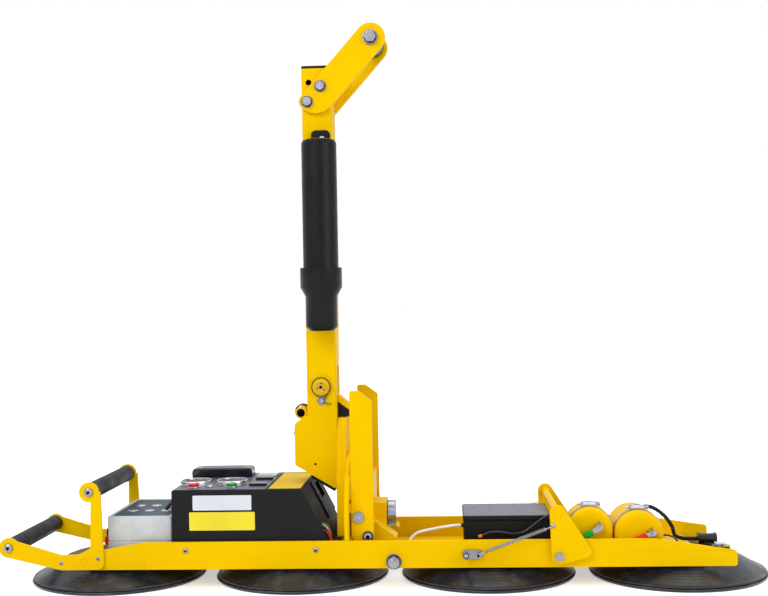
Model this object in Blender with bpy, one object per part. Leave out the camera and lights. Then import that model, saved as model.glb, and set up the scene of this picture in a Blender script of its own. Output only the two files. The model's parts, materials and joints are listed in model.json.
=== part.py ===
"""Inline vacuum lifter: four suction pads in a row under a low beam, with a folding mast that a hoist holds.

Metres, +Z up. X runs along the beam and Y across it. Inside this script x = 0 is the middle of the pad row;
the root empty then shifts everything so that the whole object is centred on the origin and stands on z = 0.
"""

import math

import bmesh
import bpy
from mathutils import Vector

# Fits
FIT = 0.0003  # gap between faces that rest on each other
RUN = 0.0003  # radial gap of a pin in its hole

# Suction pads
PAD_RADIUS = 0.175
PAD_GAP = 0.0275
PAD_COUNT = 4
PAD_TOP = 0.0455
PAD_TOP_RADIUS = 0.112
PAD_RIM = 0.004
SEAL_HEIGHT = 0.006
SEAL_WIDTH = 0.024
SEAL_LIP = 0.003

# Beam: two side rails and the deck between them
RAIL_OUTER_Y = 0.130
RAIL_THICKNESS = 0.006
RAIL_BOTTOM = 0.0395
RAIL_TOP = 0.0925
RAIL_LEFT = -0.640
RAIL_RIGHT = 0.655
RAIL_LEFT_TAPER = 0.157
RAIL_LEFT_DROP = 0.017
RAIL_NOSE = 0.060
RAIL_NOSE_DROP = 0.018
RAIL_RIGHT_TAPER = 0.154
RAIL_RIGHT_DROP = 0.0235
RAIL_CORNER = 0.006
DECK_THICKNESS = 0.005
DECK_LEFT = -0.600
DECK_RIGHT = 0.600
DECK_CORNER = 0.010
WELL_LEFT = -0.122
WELL_RIGHT = 0.024
WELL_HALF = 0.084

# Carrying handle at the left end
HANDLE_THICKNESS = 0.006
EYE_RADIUS = 0.0195
UPPER_EYE = (-0.5885, 0.1920)
LOWER_EYE = (-0.7490, 0.0850)
HANDLE_ARM = 0.027
HANDLE_RIGHT = -0.560
HANDLE_BASE = 0.041
HANDLE_CORNER = 0.012
HANDLE_TAPER = (0.006, 0.002)
ELBOW_DROP = 0.0017
ELBOW_ROUND = 0.006
CRANK_HIGH = (0.140, -0.0135)
CRANK_LOW = (0.104, -0.0150)
CRANK_ROUND = 0.020
ARM_HIGH = (0.005, 0.0155)
ARM_LOW = (-0.004, -0.0185)
GRIP_RADIUS = 0.0165
GRIP_ROD_RADIUS = 0.006
GRIP_HEAD_RADIUS = 0.0090
GRIP_HEAD_HEIGHT = 0.0050

# Battery, control box and pump box on the deck
BATTERY_LENGTH = 0.128
BATTERY_FRONT = -0.110
BATTERY_DEPTH = 0.210
BATTERY_TOP = 0.140
BATTERY_RIM = 0.005
BATTERY_RIM_DEPTH = 0.002
BOX_GAP = 0.0020  # to the battery
BOX_ARCH_GAP = 0.0078  # to the arch, which sweeps past as the mast folds
BOX_TOP_LENGTH = 0.2555
BOX_SLANT = 0.057
BOX_SLANT_BASE = 0.080
BOX_HALF_DEPTH = 0.1195
BOX_TOP = 0.1915
BOX_SHEET = 0.003
BOX_FOLD = 0.003
BOX_SLOT_WIDTH = 0.045
BOX_SLOT_Y = 0.055
BOX_SLOT_LENGTH = 0.034
BOX_SLOT_DOWN = 0.25  # share of the leaning side
DISPLAY_LENGTH = 0.128
DISPLAY_DEPTH = 0.047
DISPLAY_HEIGHT = 0.0190
DISPLAY_INSET = 0.002
DISPLAY_Y = 0.0765
DISPLAY_ROUND = 0.009
GAUGE_RADIUS = 0.0325
GAUGE_HEIGHT = 0.0080
GAUGE_BEZEL = 0.0050
GAUGE_RECESS = 0.0022
GAUGE_Y = -0.0345
GAUGE_PLACE = (0.0315, 0.1045)  # from the box's left side
BUTTON_RADIUS = 0.0110
BUTTON_HEIGHT = 0.0042
BUTTON_TRAVEL = 0.0030
BUTTON_STEM = 0.0060
BUTTON_Y = -0.0805
BUTTON_PLACE = (0.0360, 0.1125)  # from the box's left side
PUMP_LEFT = 0.140
PUMP_LENGTH = 0.170
PUMP_FRONT = -0.072
PUMP_DEPTH = 0.140
PUMP_TOP = 0.1280
PUMP_WALL = 0.004
PUMP_LID_HEIGHT = 0.010
PUMP_LID_LIP = 0.0015
PUMP_LID_EDGE = 0.002
PUMP_ROUND = 0.006

# Vacuum reservoirs, their band clamps and shut-off valves
RESERVOIR_FRONT = -0.104
RESERVOIR_WALL = 0.0025
RESERVOIR_ROUND = 0.006
RESERVOIR_PORT = 0.005
RESERVOIR_X = (0.384, 0.4765)
RESERVOIR_RADIUS = (0.0423, 0.0465)
RESERVOIR_LENGTH = (0.080, 0.110)
RESERVOIR_Z = (0.1048, 0.0935)
BAND_SETBACK = 0.018
BAND_WIDTH = 0.009
BAND_THICKNESS = 0.0013
SCREW_HOUSING = (0.032, 0.010, 0.0075)
CRADLE_WIDTH = 0.044
VALVE_STEM_RADIUS = 0.007
VALVE_STEM_LENGTH = 0.0095
VALVE_OFFSET = ((0.0155, 0.0070), (0.0235, 0.0060))
VALVE_LEVER_LENGTH = (0.048, 0.036)
VALVE_LEVER_WIDTH = 0.0095
VALVE_LEVER_THICKNESS = 0.007
VALVE_LEVER_ANGLE = (math.radians(210.0), math.radians(200.0))

# Spring-loaded bail over the rails
BAIL_PIVOT = (0.3195, 0.0615)
BAIL_TOP = (0.3180, 0.1435)
BAIL_LOBE = (0.3665, 0.0715)
BAIL_TOP_RADIUS = 0.0155
BAIL_PIVOT_RADIUS = 0.0150
BAIL_LOBE_RADIUS = 0.0135
BAIL_THICKNESS = 0.006
BAIL_STANDOFF = 0.0050
BAIL_ROD_RADIUS = 0.0070
BAIL_PIN_RADIUS = 0.0057
BAIL_PIN_HEAD = 0.0090
BAIL_PIN_HEAD_HEIGHT = 0.0035
BAIL_NUT_HEIGHT = 0.006
SPRING_HOOK = (0.3080, 0.1205)
SPRING_FOOT = (0.1740, 0.0710)
SPRING_RADIUS = 0.0040
ANCHOR_X = 0.155
ANCHOR_Z = 0.0660
ANCHOR_LENGTH = 0.040
ANCHOR_WIDTH = 0.017
ANCHOR_THICKNESS = 0.0055
POST_RADIUS = 0.0051
SPRING_START = (0.0058, 0.0017)
SPRING_ROUNDNESS = 4

# Hose valve on the last pad, hose and cables
PAD_VALVE_X = 0.6245
PAD_VALVE_Y = -0.010
PAD_VALVE_Z = 0.0680
PAD_VALVE_LENGTH = 0.037
PAD_VALVE_RADIUS = 0.0100
PAD_VALVE_FLANGE = 0.0120
PAD_VALVE_FOOT = 0.022
PAD_VALVE_COLLAR = 0.0045
HOSE_RADIUS = 0.0040
HOSE_BENDS = (  # from the tank's port
    (0.0035, 0.0240, 0.0065),
    (0.0215, 0.0420, 0.0265),
    (0.0485, 0.0340, 0.0295),
    (0.0715, 0.0140, 0.0145),
    (0.0835, -0.0040, -0.0055),
    (0.0855, -0.0140, -0.0195),
)
HOSE_LEAD = (0.026, 0.012)  # straight run into the valve
HOSE_SPACING = 0.010
CABLE_RADIUS = 0.0027
CABLE_HOLE = (0.0320, -0.0600)
CABLE_BENDS = ((-0.0010, 0.0210), (0.0130, 0.0410), (0.0530, 0.0510))  # along X and up, from the hole
CABLE_PORT_Z = 0.1080
CABLE_LEAD = 0.016
CABLE_SPACING = 0.008

# Fork that folds about the pivot pins
PIVOT = (-0.065, 0.133)
CHEEK_OUTER_Y = 0.105
CHEEK_THICKNESS = 0.010
CHEEK_LEFT = -0.0790
CHEEK_WIDTH = 0.0435
CHEEK_BOTTOM = 0.0860
CHEEK_TOP = 0.3790
CHEEK_FLAT = 0.0175
CHEEK_CHAMFER = 0.0190
CHEEK_CORNER = 0.012
CHEEK_KNEE = 0.006
CHEEK_TIP = 0.004
LUG_THICKNESS = 0.010
LUG_RADIUS = 0.0145
PIN_RADIUS = 0.0070
PIN_HEAD_RADIUS = 0.0115
PIN_HEAD_HEIGHT = 0.0030
SHAFT_Z = 0.124
DISC_RADIUS = 0.1340
DISC_THICKNESS = 0.008
DISC_HOLE_RADIUS = 0.0065
DISC_HOLE_CIRCLE = 0.108
DISC_HOLE_ANGLES = (math.radians(90.0), math.radians(21.6), math.radians(158.4))
WEB_THICKNESS = 0.003
WEB_BOTTOM = 0.142
WEB_TOP_HALF = 0.042
WEB_TOP = 0.250
BLOCK_HALF = 0.038
BLOCK_TOP = 0.150
BLOCK_LENGTH = 0.026
BLOCK_LEFT = -0.0400
CROSS_THICKNESS = 0.010
CROSS_STEP = 0.1515
CROSS_TOP = 0.205
BEARING_RADIUS = 0.030
BRACE_INNER = 0.028
BRACE_OUTER = 0.078
BRACE_TIP = (0.008, 0.0880)
BRACE_ROOT_Z = 0.128
BRACE_BASE = 0.0840

# Mast that swivels on the shaft
SHAFT_RADIUS = 0.012
NUT_RADIUS = 0.0255
NUT_LENGTH = 0.0175
NUT_EDGE = 0.0015
NUT_CLEARANCE = 0.003
MAST_CENTRE_X = -0.140
MAST_WIDTH = 0.060
MAST_DEPTH = 0.080
MAST_WALL = 0.004
MAST_CORNER = 0.005
MAST_BOTTOM = 0.2290
MAST_TOP = 1.0275
MAST_HOLE_RADIUS = 0.006
MAST_HOLE_DROP = 0.0285
MAST_HOLE_INSET = 0.0147
CAP_HEIGHT = 0.005
CAP_PLUG = 0.014
CAP_WALL = 0.003
ARCH_TOP = 0.321
ARCH_TOP_HALF = 0.0385
ARCH_SHOULDER = 0.196
ARCH_HALF = 0.075
ARCH_BOTTOM = 0.0880
ARCH_TOP_CHAMFER = 0.010
ARCH_FOOT_ROUND = 0.006
ARCH_SHOULDER_ROUND = 0.008
ARCH_TOP_ROUND = 0.004
FOOT_LEFT = -0.196
FOOT_CORNER_Z = 0.2275
FOOT_SHOULDER_Z = 0.311
FOOT_TOP = 0.3275
FOOT_TIP = (-0.1165, 0.1805)
FOOT_WALL = 0.005
FOOT_ROUND = 0.006
FOOT_FLOOR_RISE = 0.0078
FOOT_ROOM_TOP = 0.3165
FOOT_ROOM_SHOULDER = 0.307
CROSS_TUBE_RISE = 0.0048
CROSS_TUBE_RADIUS = 0.012
CROSS_TUBE_BORE = 0.0085

# Index lever that pivots in the mast
LEVER_PIVOT = (-0.1405, 0.3840)
LEVER_HUB_RADIUS = 0.0175
LEVER_HUB_HEIGHT = 0.0085
LEVER_PIN_RADIUS = 0.0060
LEVER_HALF_WIDTH = 0.0100
LATCH_HALF_WIDTH = 0.0180
LATCH_RIGHT = -0.0800
LATCH_BOTTOM = 0.3225
LATCH_RISE = 0.0300
HOOD_THICKNESS = 0.0085
HOOD_DROP = 0.0200
SLOT_HALF_HEIGHT = 0.0400
SLOT_GAP = 0.0015
ARM_UNDER = 0.004
ARM_OVER = 0.002
ARM_BACK = 0.003
ARM_HOOK = 0.002
HOOD_CREST = 0.003
HOOD_FLAT = 0.004
LATCH_INSET = (0.006, 0.002)

# Suspension bracket at the mast's top
BRACKET_THICKNESS = 0.010
BRACKET_EYE = (-0.0280, 1.0845)
BRACKET_RADIUS = 0.0300
BRACKET_ANGLE = math.radians(48.3)
BRACKET_LENGTH = 0.1970
BRACKET_CORNER = 0.0165
BRACKET_HEEL = 0.0400
HOOK_BOLT_RADIUS = 0.008
HOOK_WASHER_RADIUS = 0.0155
HOOK_WASHER_THICKNESS = 0.003
HOOK_HEAD_RADIUS = 0.0125
HOOK_HEAD_HEIGHT = 0.010
HOOK_HEAD_SIDES = 6
HOOK_SEAT = 0.001
HOOK_SLEEVE_RADIUS = 0.0220

# Document tube on the mast's front
TUBE_X = -0.1320
TUBE_RADIUS = 0.0350
TUBE_WALL = 0.0030
TUBE_TOP = 0.8760
TUBE_ROUND = 0.008
TUBE_END = 0.5880
COLLAR_RADIUS = 0.0415
COLLAR_TOP = 0.6220
COLLAR_BOTTOM = 0.5835
COLLAR_CHAMFER_END = 0.5655
CUP_RADIUS = 0.0315
CUP_BOTTOM = 0.4975
CUP_ROUND = 0.008
TAB_HALF_WIDTH = 0.0190
TAB_TOP = 0.8965
TAB_ROUND = 0.005
TAB_GAP = 0.003

# Smoothness
ROUND_STEPS = 24
PAD_STEPS = 36
SMALL_STEPS = 16
ARC_STEPS = 4
CORNER_CUT = 0.3  # how far a two-step corner is set in, as a share of its radius
SHARP_ANGLE = math.radians(30.0)
WELD = 1e-6

# Sizes that follow from the ones above
LEFT_END = LOWER_EYE[0] - EYE_RADIUS
PAD_SPACING = 2 * PAD_RADIUS + PAD_GAP
PAD_ROW_END = 0.5 * (PAD_COUNT - 1) * PAD_SPACING
RIGHT_END = PAD_ROW_END + PAD_RADIUS
CENTRE_X = 0.5 * (LEFT_END + RIGHT_END)
RAIL_INNER_Y = RAIL_OUTER_Y - RAIL_THICKNESS
DECK_BOTTOM = PAD_TOP + FIT
DECK_TOP = DECK_BOTTOM + DECK_THICKNESS
ON_DECK = DECK_TOP + FIT
DECK_HALF = RAIL_INNER_Y - FIT
HANDLE_OUTER_Y = RAIL_OUTER_Y + FIT + HANDLE_THICKNESS
BAIL_INNER_Y = RAIL_OUTER_Y + BAIL_STANDOFF
BAIL_OUTER_Y = BAIL_INNER_Y + BAIL_THICKNESS
CHEEK_INNER_Y = CHEEK_OUTER_Y - CHEEK_THICKNESS
CHEEK_RIGHT = CHEEK_LEFT + CHEEK_WIDTH
WEB_RIGHT = CHEEK_LEFT - FIT
DISC_RIGHT = WEB_RIGHT - WEB_THICKNESS
DISC_LEFT = DISC_RIGHT - DISC_THICKNESS
BLOCK_RIGHT = BLOCK_LEFT + BLOCK_LENGTH
MAST_LEFT = MAST_CENTRE_X - 0.5 * MAST_WIDTH
MAST_RIGHT = MAST_CENTRE_X + 0.5 * MAST_WIDTH
MAST_HALF = 0.5 * MAST_DEPTH
ARCH_LEFT = MAST_RIGHT + FIT
BOX_RIGHT_TOP = ARCH_LEFT - BOX_ARCH_GAP - BOX_SLANT
BOX_LEFT = BOX_RIGHT_TOP - BOX_TOP_LENGTH
BATTERY_RIGHT = BOX_LEFT - BOX_GAP
GAUGE_X = [BOX_LEFT + place for place in GAUGE_PLACE]
BUTTON_X = [BOX_LEFT + place for place in BUTTON_PLACE]
ARCH_RIGHT = DISC_LEFT - FIT
BRACKET_INNER_Y = MAST_HALF + FIT
BRACKET_OUTER_Y = BRACKET_INNER_Y + BRACKET_THICKNESS
TUBE_Y = -(MAST_HALF + FIT + COLLAR_RADIUS)


def material(name, colour, roughness, metallic=0.0):
    made = bpy.data.materials.new(name)
    made.use_nodes = True
    shader = made.node_tree.nodes["Principled BSDF"]
    shader.inputs["Base Color"].default_value = (*colour, 1.0)
    shader.inputs["Roughness"].default_value = roughness
    shader.inputs["Metallic"].default_value = metallic
    made.diffuse_color = (*colour, 1.0)
    return made


def clear_scene():
    for old in list(bpy.data.objects):
        bpy.data.objects.remove(old)


def rounded(corners):
    """Outline points from (a, b, radius) corners, with an arc at each corner that has a radius."""
    points = []
    for index, (a, b, radius) in enumerate(corners):
        here = Vector((a, b))
        if radius <= 0.0:
            points.append(here)
            continue
        before = Vector(corners[index - 1][:2])
        after = Vector(corners[(index + 1) % len(corners)][:2])
        back = (before - here).normalized()
        on = (after - here).normalized()
        half = 0.5 * back.angle(on)
        centre = here + (back + on).normalized() * (radius / math.sin(half))
        start = here + back * (radius / math.tan(half)) - centre
        end = here + on * (radius / math.tan(half)) - centre
        turn = start.angle_signed(end)
        for step in range(ARC_STEPS + 1):
            angle = -turn * step / ARC_STEPS
            cos, sin = math.cos(angle), math.sin(angle)
            points.append(centre + Vector((start.x * cos - start.y * sin, start.x * sin + start.y * cos)))
    return points


def circle(a, b, radius, steps=ROUND_STEPS):
    turn = 2.0 * math.pi / steps
    angles = [turn * step for step in range(steps)]
    return [Vector((a + radius * math.cos(angle), b + radius * math.sin(angle))) for angle in angles]


def hull(circles, steps=ROUND_STEPS):
    """Convex outline round several (a, b, radius) circles."""
    cloud = [point for a, b, radius in circles for point in circle(a, b, radius, steps)]
    cloud.sort(key=lambda point: (point.x, point.y))
    chains = []
    for ordered in (cloud, cloud[::-1]):
        chain = []
        for point in ordered:
            while len(chain) > 1 and (chain[-1] - chain[-2]).cross(point - chain[-1]) <= 1e-12:
                chain.pop()
            chain.append(point)
        chains.append(chain[:-1])
    return chains[0] + chains[1]


def placed(a, b, along, axis):
    """A point from its two outline coordinates and its place along the extrusion axis."""
    if axis == "X":
        return Vector((along, a, b))
    if axis == "Y":
        return Vector((a, along, b))
    return Vector((a, b, along))


def prism(outline, low, high, axis):
    """Solid between two planes: (y, z) outline along X, (x, z) along Y, (x, y) along Z."""
    mesh = bmesh.new()
    base = mesh.faces.new([mesh.verts.new(placed(point[0], point[1], low, axis)) for point in outline])
    grown = bmesh.ops.extrude_face_region(mesh, geom=[base])
    moved = [item for item in grown["geom"] if isinstance(item, bmesh.types.BMVert)]
    bmesh.ops.translate(mesh, verts=moved, vec=placed(0.0, 0.0, high - low, axis))
    bmesh.ops.recalc_face_normals(mesh, faces=mesh.faces)
    return mesh


def block(x, y, z):
    """Box from its low and high value along each axis."""
    return prism([(x[0], z[0]), (x[1], z[0]), (x[1], z[1]), (x[0], z[1])], y[0], y[1], "Y")


def rod(a, b, radius, low, high, axis, steps=ROUND_STEPS):
    return prism(circle(a, b, radius, steps), low, high, axis)


def turned(profile, centre, axis, steps=ROUND_STEPS, closed=False):
    """Solid of revolution: the profile holds (radius, place along the axis)."""
    mesh = bmesh.new()
    direction = {"X": Vector((1, 0, 0)), "Y": Vector((0, 1, 0)), "Z": Vector((0, 0, 1))}[axis]
    outward = {"X": Vector((0, 1, 0)), "Y": Vector((0, 0, 1)), "Z": Vector((1, 0, 0))}[axis]
    centre = Vector(centre)
    ring = [mesh.verts.new(centre + outward * radius + direction * along) for radius, along in profile]
    pairs = list(zip(ring, ring[1:]))
    if closed:
        pairs.append((ring[-1], ring[0]))
    edges = [mesh.edges.new(pair) for pair in pairs]
    bmesh.ops.spin(
        mesh, geom=ring + edges, cent=centre, axis=direction, dvec=(0, 0, 0), angle=2.0 * math.pi, steps=steps
    )
    bmesh.ops.remove_doubles(mesh, verts=mesh.verts, dist=WELD)
    bmesh.ops.recalc_face_normals(mesh, faces=mesh.faces)
    return mesh


ORIGINS = {}


def group(name, place, parent=None):
    """Empty on a joint's axis, or at the root; the pieces that move with it are its children."""
    made = bpy.data.objects.new(name, None)
    bpy.context.scene.collection.objects.link(made)
    ORIGINS[name] = Vector(place)
    if parent is None:
        made.location = -Vector((CENTRE_X, 0.0, 0.0))
        return made
    made.parent = parent
    made.location = ORIGINS[name] - ORIGINS[parent.name]
    return made


def linked(name, mesh, owner):
    bmesh.ops.translate(mesh, verts=mesh.verts, vec=-ORIGINS[owner.name])
    data = bpy.data.meshes.new(name)
    mesh.to_mesh(data)
    mesh.free()
    made = bpy.data.objects.new(name, data)
    bpy.context.scene.collection.objects.link(made)
    made.parent = owner
    return made


def piece(name, mesh, look, owner, smooth=True):
    made = linked(name, mesh, owner)
    made.data.materials.append(look)
    if smooth:
        made.data.shade_smooth()
        made.data.set_sharp_from_angle(angle=SHARP_ANGLE)
    return made


def combine(target, operation, tools):
    """Boolean the tools into the piece; the tools stay as hidden wire objects."""
    for tool in tools:
        helper = linked(f"tool_{target.name}_{len(target.modifiers)}", tool, target.parent)
        helper.hide_render = True
        helper.display_type = "WIRE"
        boolean = target.modifiers.new(operation.lower(), "BOOLEAN")
        boolean.operation = operation
        boolean.object = helper
    return target


def cut(target, *tools):
    return combine(target, "DIFFERENCE", tools)


def join(target, *tools):
    return combine(target, "UNION", tools)


def soften(target, width, segments=2):
    bevel = target.modifiers.new("edge", "BEVEL")
    bevel.width = width
    bevel.segments = segments
    bevel.limit_method = "ANGLE"
    bevel.angle_limit = math.radians(50.0)
    return target


def both_sides():
    return (("front", -1.0), ("rear", 1.0))


def span(side, near, far):
    """Low and high Y of a slab between two distances from the middle, on one side."""
    return (side * far, side * near) if side < 0 else (side * near, side * far)


def pad_places():
    return [(number + 1, number * PAD_SPACING - PAD_ROW_END) for number in range(PAD_COUNT)]


# Suction pads and their sealing rings
def build_pads(beam, looks):
    for number, x in pad_places():
        seat = SEAL_HEIGHT + FIT
        pad = turned(
            [
                (0.0, seat),
                (PAD_RADIUS - SEAL_LIP, seat),
                (PAD_RADIUS - SEAL_LIP, seat + PAD_RIM),
                (PAD_TOP_RADIUS, PAD_TOP),
                (0.0, PAD_TOP),
            ],
            (x, 0.0, 0.0),
            "Z",
            PAD_STEPS,
        )
        piece(f"pad_{number}", pad, looks["rubber"], beam)
        seal = turned(
            [
                (PAD_RADIUS - SEAL_WIDTH, SEAL_HEIGHT),
                (PAD_RADIUS - SEAL_WIDTH, SEAL_LIP),
                (PAD_RADIUS - SEAL_WIDTH + SEAL_LIP, 0.0),
                (PAD_RADIUS - SEAL_LIP, 0.0),
                (PAD_RADIUS, SEAL_LIP),
                (PAD_RADIUS, SEAL_HEIGHT),
            ],
            (x, 0.0, 0.0),
            "Z",
            PAD_STEPS,
            closed=True,
        )
        piece(f"pad_seal_{number}", seal, looks["rubber"], beam)


# Side rails and deck
def build_rails(beam, looks):
    outline = rounded(
        [
            (RAIL_LEFT, RAIL_BOTTOM, RAIL_CORNER),
            (RAIL_RIGHT, RAIL_BOTTOM, RAIL_CORNER),
            (RAIL_RIGHT, RAIL_TOP - RAIL_RIGHT_DROP, RAIL_CORNER),
            (RAIL_RIGHT - RAIL_RIGHT_TAPER, RAIL_TOP, 0.0),
            (RAIL_LEFT + RAIL_LEFT_TAPER, RAIL_TOP, 0.0),
            (RAIL_LEFT + RAIL_NOSE, RAIL_TOP - RAIL_LEFT_DROP, 0.0),
            (RAIL_LEFT, RAIL_TOP - RAIL_LEFT_DROP - RAIL_NOSE_DROP, 0.0),
        ]
    )
    for name, side in both_sides():
        low, high = span(side, RAIL_INNER_Y, RAIL_OUTER_Y)
        rail = piece(f"rail_{name}", prism(outline, low, high, "Y"), looks["paint"], beam)
        cut(rail, rod(*BAIL_PIVOT, BAIL_PIN_RADIUS + RUN, low - FIT, high + FIT, "Y", SMALL_STEPS))


def build_deck(beam, looks):
    plan = rounded([(DECK_LEFT, -DECK_HALF, DECK_CORNER), (DECK_RIGHT, -DECK_HALF, DECK_CORNER),
                    (DECK_RIGHT, DECK_HALF, DECK_CORNER), (DECK_LEFT, DECK_HALF, DECK_CORNER)])
    deck = piece("deck", prism(plan, DECK_BOTTOM, DECK_TOP, "Z"), looks["paint"], beam)
    well = rounded([(WELL_LEFT, -WELL_HALF, DECK_CORNER), (WELL_RIGHT, -WELL_HALF, DECK_CORNER),
                    (WELL_RIGHT, WELL_HALF, DECK_CORNER), (WELL_LEFT, WELL_HALF, DECK_CORNER)])
    cut(deck, prism(well, DECK_BOTTOM - FIT, DECK_TOP + FIT, "Z"))
    sunk_radius = RESERVOIR_RADIUS[1] + FIT
    half_slot = math.sqrt(sunk_radius**2 - (RESERVOIR_Z[1] - DECK_TOP) ** 2)
    front = RESERVOIR_FRONT - FIT
    cut(
        deck,
        block(
            (RESERVOIR_X[1] - half_slot, RESERVOIR_X[1] + half_slot),
            (front, front + RESERVOIR_LENGTH[1] + 2 * FIT),
            (DECK_BOTTOM - FIT, DECK_TOP + FIT),
        ),
    )
    for _, side in both_sides():
        low, high = span(side, CHEEK_INNER_Y - FIT - LUG_THICKNESS, CHEEK_INNER_Y - FIT)
        lug = hull([(PIVOT[0], PIVOT[1], LUG_RADIUS), (PIVOT[0], DECK_BOTTOM + LUG_RADIUS, LUG_RADIUS)])
        foot_low = DECK_BOTTOM + 0.5 * DECK_THICKNESS
        join(deck, prism([point for point in lug if point.y > foot_low], low, high, "Y"))
    for _, side in both_sides():
        low, high = span(side, CHEEK_INNER_Y - 2 * FIT - LUG_THICKNESS, CHEEK_INNER_Y)
        cut(deck, rod(*PIVOT, PIN_RADIUS + RUN, low, high, "Y", SMALL_STEPS))


def build_pivot_pins(beam, looks):
    for name, side in both_sides():
        inner = CHEEK_INNER_Y - FIT - LUG_THICKNESS
        seat = CHEEK_OUTER_Y + FIT
        pin = turned(
            [
                (0.0, side * inner),
                (PIN_RADIUS, side * inner),
                (PIN_RADIUS, side * seat),
                (PIN_HEAD_RADIUS, side * seat),
                (PIN_HEAD_RADIUS, side * (seat + PIN_HEAD_HEIGHT)),
                (0.0, side * (seat + PIN_HEAD_HEIGHT)),
            ],
            (PIVOT[0], 0.0, PIVOT[1]),
            "Y",
            SMALL_STEPS,
        )
        piece(f"pivot_pin_{name}", pin, looks["steel"], beam)


# Carrying handle: two cranked plates with two rubber grips between them
def build_handle(beam, looks):
    left_edge = HANDLE_RIGHT - HANDLE_ARM
    x, z = LOWER_EYE
    arm = rounded(
        [
            (HANDLE_RIGHT, HANDLE_BASE, HANDLE_CORNER),
            (HANDLE_RIGHT - HANDLE_TAPER[0], UPPER_EYE[1], 0.0),
            (left_edge + HANDLE_TAPER[1], UPPER_EYE[1], 0.0),
            (left_edge, z - ELBOW_DROP, ELBOW_ROUND),
            (x + CRANK_HIGH[0], z + CRANK_HIGH[1], CRANK_ROUND),
            (x + CRANK_LOW[0], z + CRANK_LOW[1], CRANK_ROUND),
            (x + ARM_HIGH[0], z + ARM_HIGH[1], 0.0),
            (x + ARM_LOW[0], z + ARM_LOW[1], 0.0),
            (x + CRANK_LOW[0], HANDLE_BASE, CRANK_ROUND),
        ]
    )
    for name, side in both_sides():
        low, high = span(side, RAIL_OUTER_Y + FIT, HANDLE_OUTER_Y)
        plate = piece(f"handle_{name}", prism(arm, low, high, "Y"), looks["paint"], beam)
        for eye in (UPPER_EYE, LOWER_EYE):
            join(plate, rod(*eye, EYE_RADIUS, low, high, "Y"))
            cut(plate, rod(*eye, GRIP_ROD_RADIUS + RUN, low - FIT, high + FIT, "Y", SMALL_STEPS))
    for name, eye in (("upper", UPPER_EYE), ("lower", LOWER_EYE)):
        reach = RAIL_OUTER_Y
        grip = turned(
            [
                (GRIP_ROD_RADIUS + RUN, -reach),
                (GRIP_RADIUS, -reach),
                (GRIP_RADIUS, reach),
                (GRIP_ROD_RADIUS + RUN, reach),
            ],
            (eye[0], 0.0, eye[1]),
            "Y",
            closed=True,
        )
        piece(f"grip_{name}", grip, looks["grip"], beam)
        seat = HANDLE_OUTER_Y + FIT
        top = seat + GRIP_HEAD_HEIGHT
        dome = 0.6 * GRIP_HEAD_RADIUS
        bar = turned(
            [
                (0.0, -top),
                (dome, -top),
                (GRIP_HEAD_RADIUS, -seat - 0.4 * GRIP_HEAD_HEIGHT),
                (GRIP_HEAD_RADIUS, -seat),
                (GRIP_ROD_RADIUS, -seat),
                (GRIP_ROD_RADIUS, seat),
                (GRIP_HEAD_RADIUS, seat),
                (GRIP_HEAD_RADIUS, seat + 0.4 * GRIP_HEAD_HEIGHT),
                (dome, top),
                (0.0, top),
            ],
            (eye[0], 0.0, eye[1]),
            "Y",
            SMALL_STEPS,
        )
        piece(f"grip_rod_{name}", bar, looks["steel"], beam)


# Battery, control box and pump box
def build_battery(beam, looks):
    left = BATTERY_RIGHT - BATTERY_LENGTH
    back = BATTERY_FRONT + BATTERY_DEPTH
    case = block((left, BATTERY_RIGHT), (BATTERY_FRONT, back), (ON_DECK, BATTERY_TOP))
    battery = piece("battery", case, looks["battery"], beam)
    cut(
        battery,
        block(
            (left + BATTERY_RIM, BATTERY_RIGHT - BATTERY_RIM),
            (BATTERY_FRONT + BATTERY_RIM, back - BATTERY_RIM),
            (BATTERY_TOP - BATTERY_RIM_DEPTH, BATTERY_TOP + FIT),
        ),
    )


def box_outline(inset):
    """Side view of the control box, moved inwards by a sheet thickness; its right side leans back."""
    lean = math.atan2(BOX_SLANT, BOX_TOP - BOX_SLANT_BASE)
    shift = inset / math.cos(lean)
    base_x = BOX_RIGHT_TOP + BOX_SLANT
    top_x = BOX_RIGHT_TOP + inset * math.tan(lean) - shift
    knee_x = base_x - inset
    knee_z = BOX_SLANT_BASE + (inset - shift) / math.tan(lean)
    return BOX_LEFT + inset, top_x, knee_x, knee_z, BOX_TOP - inset


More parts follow.
